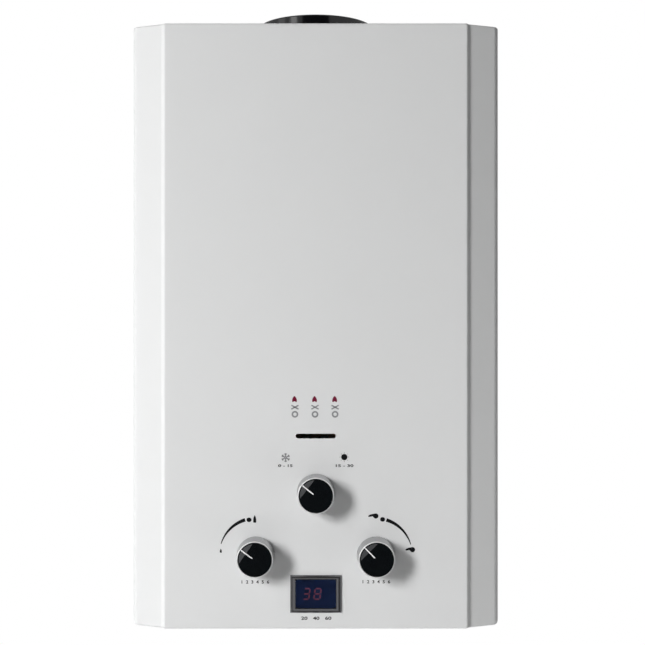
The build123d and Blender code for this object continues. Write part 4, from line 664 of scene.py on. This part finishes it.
def display_block(name, half, start, end):
    """A block centred on the display, from one depth to another, measured from the panel's face."""
    wide, tall = half
    return block(name, (-wide, PANEL_Y + start, DISPLAY_Z - tall), (wide, PANEL_Y + end, DISPLAY_Z + tall))


def round_corners(piece):
    """Round the four edges that run from back to front."""
    edit(piece, "EDGE", lambda e: abs(e.verts[0].co.y - e.verts[1].co.y) > 0.1 * MM)
    bpy.ops.mesh.bevel(offset=OPENING_CORNER * MM, segments=6, affect="EDGES")
    return done(piece)


def display_frame():
    """Dark chrome frame: an outer bevel, a flat rim and an inner bevel down to the lens."""
    bevel, rise, flat, seam, drop = 1.2, 1.3, 0.9, 0.05, 0.9
    frame_piece = display_block("display_frame", FRAME_HALF, 0, -0.9)
    edit(frame_piece, "FACE", lambda f: f.normal.y < -0.9)
    bpy.ops.mesh.inset(thickness=bevel * MM, depth=rise * MM)
    bpy.ops.mesh.inset(thickness=flat * MM, depth=0)
    bpy.ops.mesh.inset(thickness=seam * MM, depth=0)
    across, up = [
        (opening + 0.3) / (whole - bevel - flat - seam) for opening, whole in zip(OPENING_HALF, FRAME_HALF)
    ]
    bpy.ops.transform.resize(value=(across, 1, up), center_override=(0, PANEL_Y * MM, DISPLAY_Z * MM))
    bpy.ops.transform.translate(value=(0, drop * MM, 0))
    bpy.ops.mesh.extrude_region_move(TRANSFORM_OT_translate={"value": (0, drop * MM, 0)})
    done(frame_piece)
    cut(frame_piece, round_corners(display_block("opening", OPENING_HALF, -5, 5)))
    skirt = display_block("skirt", (20.0, 14.85), 0, 8)
    cut(skirt, round_corners(display_block("well", OPENING_HALF, -1, 9)))
    for part in (frame_piece, skirt):
        split_faces(part)
    soften(frame_piece, 0.1, 2, 25)
    return smooth(joined("display_frame", [frame_piece, skirt]), 28)


def display_window():
    """Smoked lens with rounded corners and a polished edge."""
    lens = round_corners(display_block("display_window", (17.98, 12.83), -1.4, -0.2))
    soften(lens, 0.2, 2, 40)
    return smooth(lens, 40)


def display_backing():
    """Dark board face behind the light bars."""
    backing = round_corners(display_block("display_backing", (17.9, 12.7), 0.05, 0.25))
    return soften(backing, 0.05, 1, 40)


def segment(x, z, length, upright):
    """One light bar with pointed ends, leaning to the right."""
    half, thick = length / 2, 0.6
    tip = half + thick * 0.7
    outline = [(-tip, 0), (-half, thick), (half, thick), (tip, 0), (half, -thick), (-half, -thick)]
    if upright:
        outline = [(b, a) for a, b in outline]
    lean = math.tan(math.radians(8))
    outline = [(x + a + (z + b) * lean, DISPLAY_Z + z + b) for a, b in outline]
    return plate("bar", outline, PANEL_Y, 0.18)


def display_figures():
    """The two figures, three and eight, as slanted light bars behind the lens."""
    half_w, half_h = 2.65, 4.7
    level, stand = (3.5, False), (2.7, True)
    bars = {
        "a": (0, half_h, *level), "b": (half_w, half_h / 2, *stand), "c": (half_w, -half_h / 2, *stand),
        "d": (0, -half_h, *level), "e": (-half_w, -half_h / 2, *stand), "f": (-half_w, half_h / 2, *stand),
        "g": (0, 0, *level),
    }
    made = []
    for middle, lit in ((-8.3, "abgcd"), (1.5, "abcdefg")):
        for letter in lit:
            x, z, length, upright = bars[letter]
            made.append(segment(middle + x, z, length, upright))
    return joined("display_figures", made)


def make_display():
    """The display: its frame, lens, lit figures and dark backing."""
    put_on(display_frame(), "heater", PAINTS["dark_chrome"], ["display_bezel"])
    put_on(display_window(), "heater", PAINTS["smoked_lens"], ["display_lens"])
    put_on(display_figures(), "heater", PAINTS["red_light"], ["display_digits"])
    put_on(display_backing(), "heater", DISPLAY_DARK)


# Printed marks on the panel
PRINT_THICK = 0.05
GAS_ARC = (-53.4, -435.8)
WATER_ARC = (53.4, -435.9)
SUN_PLACE = (25.4, -348.8)
KNOB_NUMBERS = "1  2  3  4  5  6"
CAPTIONS = (  # text, x, z, width and height
    (KNOB_NUMBERS, -54.2, -460.2, 24.6, 3.0),
    (KNOB_NUMBERS, 53.6, -460.0, 24.6, 3.0),
    ("20   40   60", 0.4, -492.5, 27.0, 3.0),
    ("0 - 15", -27.0, -356.6, 12.8, 2.5),
    ("15 - 30", 25.2, -356.6, 15.8, 2.5),
)


def mark(name, outline):
    """One printed shape on the front panel."""
    return plate(name, outline, PANEL_Y + 0.005, PRINT_THICK)


def disc_mark(x, z, radius, sides=28, squash=1.0):
    """A printed dot, which may be a little flatter than round."""
    ring = arc_points(radius, 0, 360 - 360 / sides, sides - 1)
    return mark("disc", [(x + a, z + b * squash) for a, b in ring])


def bar_mark(x0, z0, x1, z1, width):
    """A short printed line with square ends."""
    along = Vector((x1 - x0, z1 - z0)).normalized()
    side = Vector((-along.y, along.x)) * width / 2
    start, end = Vector((x0, z0)), Vector((x1, z1))
    return mark("line", [start + side, end + side, end - side, start - side])


def ring_mark(x, z, outer, inner):
    """A printed ring: a disc with its middle cut out."""
    ring = disc_mark(x, z, outer, 32)
    hole = rod("hole", inner, (x, PANEL_Y - 2, z), (x, PANEL_Y + 2, z), 32)
    return cut(ring, hole)


def tapered_arc(centre, radius, thick_at, thin_at, thick, thin):
    """A printed arc whose line grows towards its full end."""
    steps = 30
    outer, inner = [], []
    for i in range(steps + 1):
        share = i / steps
        angle = math.radians(thick_at + (thin_at - thick_at) * share)
        half = (thick + (thin - thick) * share ** 1.2) / 2
        for line, r in ((outer, radius + half), (inner, radius - half)):
            line.append((centre[0] + r * math.cos(angle), centre[1] + r * math.sin(angle)))
    return mark("arc", outer + inner[::-1])


def flame_outline(x, z, width, height, notch=0.16):
    """A small pointed flame, with a notch below unless it is none."""
    half = width / 2
    right = [
        (0.0, 1.0), (0.36, 0.88), (0.72, 0.68), (0.94, 0.46), (1.0, 0.24), (0.92, 0.04), (0.62, notch * 0.1),
        (0.3, notch * 0.6), (0.0, notch),
    ]
    left = [(-a, b) for a, b in right[-2:0:-1]]
    return [(x + half * a, z + height * (b - 0.45)) for a, b in right + left]


def tap_outline(x, z, length, bulb):
    """A small tap: a bulb on the right and a spout that thins to the left."""
    mouth = x - length
    over = [(mouth, -0.2), (mouth + 0.7, 0.75), (x - length * 0.6, 1.55), (x - length * 0.3, 2.0)]
    under = [(x - length * 0.42, -0.25), (x - length * 0.7, -0.65), (mouth + 0.6, -0.75)]
    over, under = ([(a, z + b) for a, b in edge] for edge in (over, under))
    return over + arc_points(bulb, 105, -140, 16, (x, z)) + under


def snowflake(x, z):
    """Six arms with small barbs."""
    arms = []
    for angle in (90, 30, -30, -90, -150, 150):
        a = math.radians(angle)
        c, s = math.cos(a), math.sin(a)
        arms.append(bar_mark(x + 0.25 * c, z + 0.25 * s, x + 3.9 * c, z + 3.9 * s, 0.95))
        foot_x, foot_z = x + 2.3 * c, z + 2.3 * s
        for turn in (35, -35):
            b = a + math.radians(turn)
            arms.append(bar_mark(foot_x, foot_z, foot_x + 1.6 * math.cos(b), foot_z + 1.6 * math.sin(b), 0.7))
    return arms


def sun(x, z):
    """A dot with eight short rays."""
    rays = []
    for i in range(8):
        c, s = math.cos(math.radians(45 * i)), math.sin(math.radians(45 * i))
        rays.append(bar_mark(x + 3.4 * c, z + 3.4 * s, x + 4.2 * c, z + 4.2 * s, 0.32))
    return [disc_mark(x, z, 2.8, 32)] + rays


def figures(text, x, z, width, height):
    """A row of plain numbers, fitted to a place on the panel."""
    clear_selection()
    bpy.ops.object.text_add(location=(0, 0, 0))
    row = bpy.context.object
    row.data.body = text
    row.data.align_x = "CENTER"
    row.data.align_y = "CENTER"
    row.data.extrude = PRINT_THICK / 2
    row.data.resolution_u = 3
    row.data.offset = 0.10
    row.data.size = 4.0
    pick(row)
    bpy.ops.object.convert(target="MESH")
    row = bpy.context.object
    across = [v.co.x for v in row.data.vertices]
    up = [v.co.y for v in row.data.vertices]
    row.scale = (width / (max(across) - min(across)) * MM, height / (max(up) - min(up)) * MM, MM)
    row.rotation_euler = (math.radians(90), 0, 0)
    row.location = (x * MM, (PANEL_Y - PRINT_THICK / 2) * MM, z * MM)
    edit(settle(row))
    bpy.ops.mesh.remove_doubles(threshold=1e-6)
    face_outwards()
    return done(row)


def make_prints():
    """All printed marks, joined by their colour."""
    black = [
        tapered_arc(GAS_ARC, 32.5, 107.0, 162.5, 3.15, 0.75),
        tapered_arc(WATER_ARC, 32.5, 73.0, 16.5, 3.15, 0.75),
        disc_mark(-59.5, -404.7, 2.25, squash=0.9), disc_mark(59.5, -404.3, 2.25, squash=0.9),
        mark("flame", flame_outline(-54.4, -404.2, 2.7, 6.8, 0.0)),
        mark("flame", flame_outline(-84.6, -432.4, 1.8, 3.6, 0.0)),
        mark("tap", tap_outline(53.5, -401.3, 6.9, 2.3)),
        mark("tap", tap_outline(86.2, -431.3, 6.5, 2.3)),
        *sun(*SUN_PLACE),
        *[figures(*row) for row in CAPTIONS],
    ]
    put_on(joined("panel_print_black", black), "heater", PRINT_BLACK)
    grey = snowflake(-26.9, -349.3)
    for x in (-18.6, -0.7, 17.2):
        grey += [
            bar_mark(x - 3.2, -306.1, x + 3.2, -302.6, 1.15),
            bar_mark(x - 3.2, -302.6, x + 3.2, -306.1, 1.15),
            ring_mark(x, -310.7, 3.0, 1.55),
        ]
    put_on(joined("panel_print_grey", grey), "heater", PRINT_GREY)
    red = [mark("flame", flame_outline(x, -297.4, 4.3, 5.6)) for x in (-19.0, -1.1, 16.8)]
    put_on(joined("panel_print_red", red), "heater", PRINT_RED)


# Camera, light and floor
def make_camera():
    """Level camera, a metre in front of the panel and at about half the case's height."""
    bpy.ops.object.camera_add(location=(0, -1.150, -0.225), rotation=(math.radians(90), 0, 0))
    camera = bpy.context.object
    camera.name = "front_camera"
    camera.data.lens = 62.65
    camera.data.sensor_width = 36.0
    camera.data.shift_x = 0.0104
    camera.data.shift_y = -0.0068
    camera.data.clip_start = 0.01
    bpy.context.scene.camera = camera


def area_light(name, place, aim, size, power, tall=None, unseen=("glossy",)):
    """A soft lamp that looks at a point, hidden from the named kinds of ray; sizes in metres."""
    bpy.ops.object.light_add(type="AREA", location=place)
    lamp = bpy.context.object
    lamp.name = name
    lamp.data.energy = power
    lamp.data.size = size
    if tall:
        lamp.data.shape = "RECTANGLE"
        lamp.data.size_y = tall
    lamp.rotation_euler = (Vector(aim) - Vector(place)).to_track_quat("-Z", "Y").to_euler()
    for ray in unseen:
        setattr(lamp, "visible_" + ray, False)


def make_light():
    """Lamps for the matt faces, and two more that show only as shine in the glossy ones."""
    key_place, case_middle = (-1.9, -2.05, 0.35), (0, -0.1, -0.25)
    area_light("key_lamp", key_place, (0, -0.1, -5.0), 0.6, 101, 1.5, ("glossy", "transmission"))
    area_light("key_shine", key_place, case_middle, 0.6, 12, 1.5, ("diffuse", "transmission"))
    area_light("left_lamp", (-1.9, -0.75, -0.45), case_middle, 0.06, 3.0, 1.0)
    area_light("left_shine", (-1.9, -0.75, -0.1), case_middle, 0.55, 4, 1.4, ("diffuse", "transmission"))
    area_light("low_fill", (0.9, -0.45, -0.9), (0.12, -0.1, -0.4), 0.4, 1.5)
    area_light("side_fill", (1.5, 1.7, 1.4), case_middle, 1.2, 23)
    area_light("under_fill", (0.1, 0.6, -1.9), (0, -0.05, -0.4), 1.2, 7)


def make_background():
    """White to the camera, in shine and through glass, dim as a source of light, and plain colours."""
    world = bpy.data.worlds.new("studio")
    bpy.context.scene.world = world
    world.use_nodes = True
    tree = world.node_tree
    tree.nodes.clear()
    ray = add(tree, "ShaderNodeLightPath").outputs
    direct = maths(tree, "MAXIMUM", ray["Is Camera Ray"], ray["Is Glossy Ray"])
    clear = maths(tree, "MAXIMUM", direct, ray["Is Transmission Ray"])
    strength = add(tree, "ShaderNodeMapRange", {"Value": clear, "To Min": 0.055, "To Max": 1.0})
    sky = add(tree, "ShaderNodeBackground", {"Color": (1, 1, 1, 1), "Strength": strength.outputs[0]})
    add(tree, "ShaderNodeOutputWorld", {"Surface": sky.outputs[0]})
    bpy.context.scene.view_settings.view_transform = "Standard"


def make_floor():
    """Plain pale floor some way below, as under a heater on a wall."""
    clear_selection()
    bpy.ops.mesh.primitive_plane_add(size=8.0, location=(0, 0, -2.2))
    floor = bpy.context.object
    floor.name = "floor"
    material, tree, shader = bare_material("pale_floor")
    ray = add(tree, "ShaderNodeLightPath")
    feed(tree, shader, {
        "Base Color": (0.9, 0.9, 0.9, 1), "Roughness": 0.9, "Emission Color": (1, 1, 1, 1),
        "Emission Strength": maths(tree, "MULTIPLY", ray.outputs["Is Camera Ray"], 0.9),
    })
    floor.data.materials.append(material)


def make_dark_side():
    """The unlit side of the room behind the camera, seen only in glossy faces and through glass."""
    clear_selection()
    bpy.ops.mesh.primitive_plane_add(size=1.0, location=(0, -1.6, -0.2), rotation=(math.radians(90), 0, 0))
    card = bpy.context.object
    card.name = "dark_side"
    card.scale = (1.5, 2.1, 1.0)
    material, tree, shader = bare_material("dark_room")
    feed(tree, shader, {"Base Color": (0.01, 0.01, 0.01, 1), "Roughness": 0.9})
    card.data.materials.append(material)
    card.visible_camera = False
    card.visible_diffuse = False
    card.visible_shadow = False


# Collar, pipe ends and small hardware
FLUE_Y = -72.0
UNION_Y = -88.0
UNIONS = (("gas", -60.012), ("cold", 60.0), ("hot", 125.0))
PIPE_BORE = 7.0


def flue_ring():
    """Flue collar: flange, wall and a lip rolled inwards at its mouth."""
    profile = [
        (53.8, 22.0), (60.0, 22.0), (60.0, 22.7), (59.8, 23.0), (56.2, 23.0), (55.5, 23.25), (55.08, 23.8),
        (55.0, 24.5), (55.0, 50.6), (54.95, 51.1), (54.75, 51.55), (54.4, 51.87), (54.0, 51.98), (53.5, 51.9),
        (53.1, 51.6), (52.85, 51.1), (52.8, 50.6), (52.9, 50.1), (53.2, 49.7), (53.7, 49.55), (53.8, 49.2),
        (53.8, 22.0),
    ]
    return smooth(turned("flue_ring", profile, (0, FLUE_Y, 0), "Z", 128), 35)


def threaded_stub(x, top, bottom):
    """Outside pipe thread, cut as a real spiral, with a chamfered end."""
    pitch, crest, depth = 1.814, 10.46, 1.16
    root = crest - depth
    start = bottom - 2 * pitch
    tooth = [(root, 0.0), (root, 0.14), (crest, 0.46), (crest, 0.54), (root, 0.86), (root, 1.0)]
    piece = done(draw_line("stub", [(radius, 0, start + share * pitch) for radius, share in tooth]))
    turns = int((top - bottom) / pitch) + 4
    modify(
        piece, "SCREW", axis="Z", steps=36, screw_offset=pitch * MM, iterations=turns, use_merge_vertices=True
    )
    edit(piece)
    bpy.ops.mesh.remove_doubles(threshold=1e-6)
    for height, below in ((bottom, True), (top, False)):
        bpy.ops.mesh.select_all(action="SELECT")
        bpy.ops.mesh.bisect(
            plane_co=(0, 0, height * MM), plane_no=(0, 0, 1), use_fill=True, clear_inner=below,
            clear_outer=not below, threshold=1e-7,
        )
    face_outwards()
    done(piece)
    piece.location = (x * MM, UNION_Y * MM, 0)
    settle(piece)
    inside, outside = 9.0, 12.5
    chamfer = [
        (inside, bottom - 1), (outside, bottom - 1), (outside, bottom + 2.4), (inside, bottom - 0.2),
        (inside, bottom - 1),
    ]
    return cut(piece, turned("chamfer", chamfer, (x, UNION_Y, 0), "Z", 48))


def union_nut(name, x):
    """Brass union: a chamfered hexagon over its threaded stub, with the pipe's bore through both."""
    top, shoulder, bottom, across_flats = -473.3, -483.3, -516.0, 27.0
    clear_selection()
    bpy.ops.mesh.primitive_cylinder_add(
        vertices=6, radius=across_flats / math.sqrt(3) * MM, depth=(top - shoulder) * MM,
        location=(x * MM, UNION_Y * MM, (top + shoulder) / 2 * MM), rotation=(0, 0, math.radians(30)),
    )
    nut = settle(bpy.context.object)
    rim = [
        (16.5, shoulder - 1), (13.2, shoulder - 1), (13.2, shoulder), (15.6, shoulder + 1.4),
        (16.5, shoulder + 1.4), (16.5, shoulder - 1),
    ]
    cut(nut, turned("rim", rim, (x, UNION_Y, 0), "Z", 72))
    soften(nut, 0.25, 2, 40)
    stub = threaded_stub(x, shoulder + 0.2, bottom)
    for part in (nut, stub):
        cut(part, rod("bore", PIPE_BORE, (x, UNION_Y, bottom - 2), (x, UNION_Y, top + 2)))
    return smooth(joined(name, [nut, stub]), 32)


def cross_recess(reach, half, bottom, top):
    """The form of a cross-head driver's tip, pointing down."""
    quarter = [(reach, -half), (reach, half), (half, half)]
    outline = []
    for c, s in ((1, 0), (0, 1), (-1, 0), (0, -1)):
        outline += [(c * a - s * b, s * a + c * b) for a, b in quarter]
    tip = draw_line("cross_recess", [(a, b, top) for a, b in outline])
    bpy.ops.mesh.select_all(action="SELECT")
    bpy.ops.mesh.edge_face_add()
    bpy.ops.mesh.extrude_region_move(TRANSFORM_OT_translate={"value": (0, 0, (bottom - top) * MM)})
    bpy.ops.transform.resize(value=(0.55, 0.55, 1), center_override=(0, 0, bottom * MM))
    face_outwards()
    return done(tip)


def cover_screw(side, z):
    """Pan-head screw with a cross recess, driven in from the side of the cover."""
    y, face = -10.0, 165.0
    profile = [
        (0.0, -6.0), (1.3, -6.0), (2.0, -4.6), (2.0, 0.0), (3.6, 0.0), (3.6, 0.5), (3.5, 0.95), (3.2, 1.35),
        (2.6, 1.62), (1.6, 1.77), (0.0, 1.8),
    ]
    screw = turned("cover_screw", profile, (0, 0, 0), "Z", 40)
    cut(screw, cross_recess(1.9, 0.38, 0.75, 2.6))
    screw.rotation_euler = (0, 0, math.radians(25 + z * 0.1))
    settle(screw)
    screw.rotation_euler = (0, math.radians(90 * side), 0)
    settle(screw)
    screw.location = (side * face * MM, y * MM, z * MM)
    return settle(screw)


def battery_door():
    """Battery lid with rounded edges, finger grips and its hinge barrel."""
    low, high = -502.0, -499.5
    left, right, hinge_y = -142.0, -104.7, -63.8
    lid = block("battery_door", (-158.1, -131.0, low), (-88.3, -65.3, high))

    def upright_in_front(edge):
        return abs(edge.verts[0].co.z - edge.verts[1].co.z) > 1 * MM and edge.verts[0].co.y < -100 * MM

    edit(lid, "EDGE", upright_in_front)
    bpy.ops.mesh.bevel(offset=2.5 * MM, segments=6, affect="EDGES")
    done(lid)
    for i in range(3):
        y, z = -125.9 + 3.0 * i, low - 0.1
        cut(lid, rod("groove", 0.75, (-135.2, y, z), (-111.2, y, z), 24))
    tongue = block("tongue", (left, -66.2, low), (right, -63.6, high - 0.2))
    barrel = rod("barrel", 2.6, (left, hinge_y, -499.4), (right, hinge_y, -499.4), 40)
    soften(lid, 0.35, 3, 40)
    soften(tongue, 0.2, 2)
    soften(barrel, 0.25, 2)
    return smooth(joined("battery_door", [lid, tongue, barrel]), 35)


def drain_screw():
    """Drain plug: a round head with a grooved edge over an eight-sided grip."""
    x, y, top = 46.0, -110.0, -453.9
    head_end, grip_length = top - 11.0, 7.7
    profile = [
        (0.0, top + 2.6), (3.6, top + 2.6), (4.0, top + 2.2), (4.0, top), (6.5, top), (7.0, top - 0.5),
        (7.0, top - 2.6), (6.6, top - 3.0), (6.6, top - 3.6), (7.0, top - 4.0), (7.0, top - 9.9),
        (6.4, head_end), (0.0, head_end),
    ]
    head = turned("drain_screw", profile, (x, y, 0), "Z", 72)
    clear_selection()
    bpy.ops.mesh.primitive_cylinder_add(
        vertices=8, radius=8.5 * MM, depth=grip_length * MM,
        location=(x * MM, y * MM, (head_end - grip_length / 2) * MM),
    )
    grip = soften(settle(bpy.context.object), 0.6, 3)
    return smooth(joined("drain_screw", [head, grip]), 32)


def make_hardware():
    """The collar, the pipe ends, the cover screws, the battery lid and the drain plug."""
    put_on(flue_ring(), "heater", PAINTS["black_enamel"], ["flue_collar"])
    for name, x in UNIONS:
        put_on(union_nut(name + "_pipe_end", x), "heater", PAINTS["brass"], [name + "_union"])
    screws = [cover_screw(side, z) for side in (-1, 1) for z in (-2.0, -417.0)]
    put_on(
        smooth(joined("case_screws", screws), 35), "heater", PAINTS["zinc_plated_steel"],
        ["cover_screws"],
    )
    put_on(battery_door(), "lid", PAINTS["grey_plastic"], ["battery_lid"])
    put_on(drain_screw(), "drain", PAINTS["grey_plastic"], ["drain_plug"])


paint_the_frame()
make_knobs()
make_display()
make_hardware()
make_prints()
make_camera()
make_light()
make_background()
make_floor()
make_dark_side()
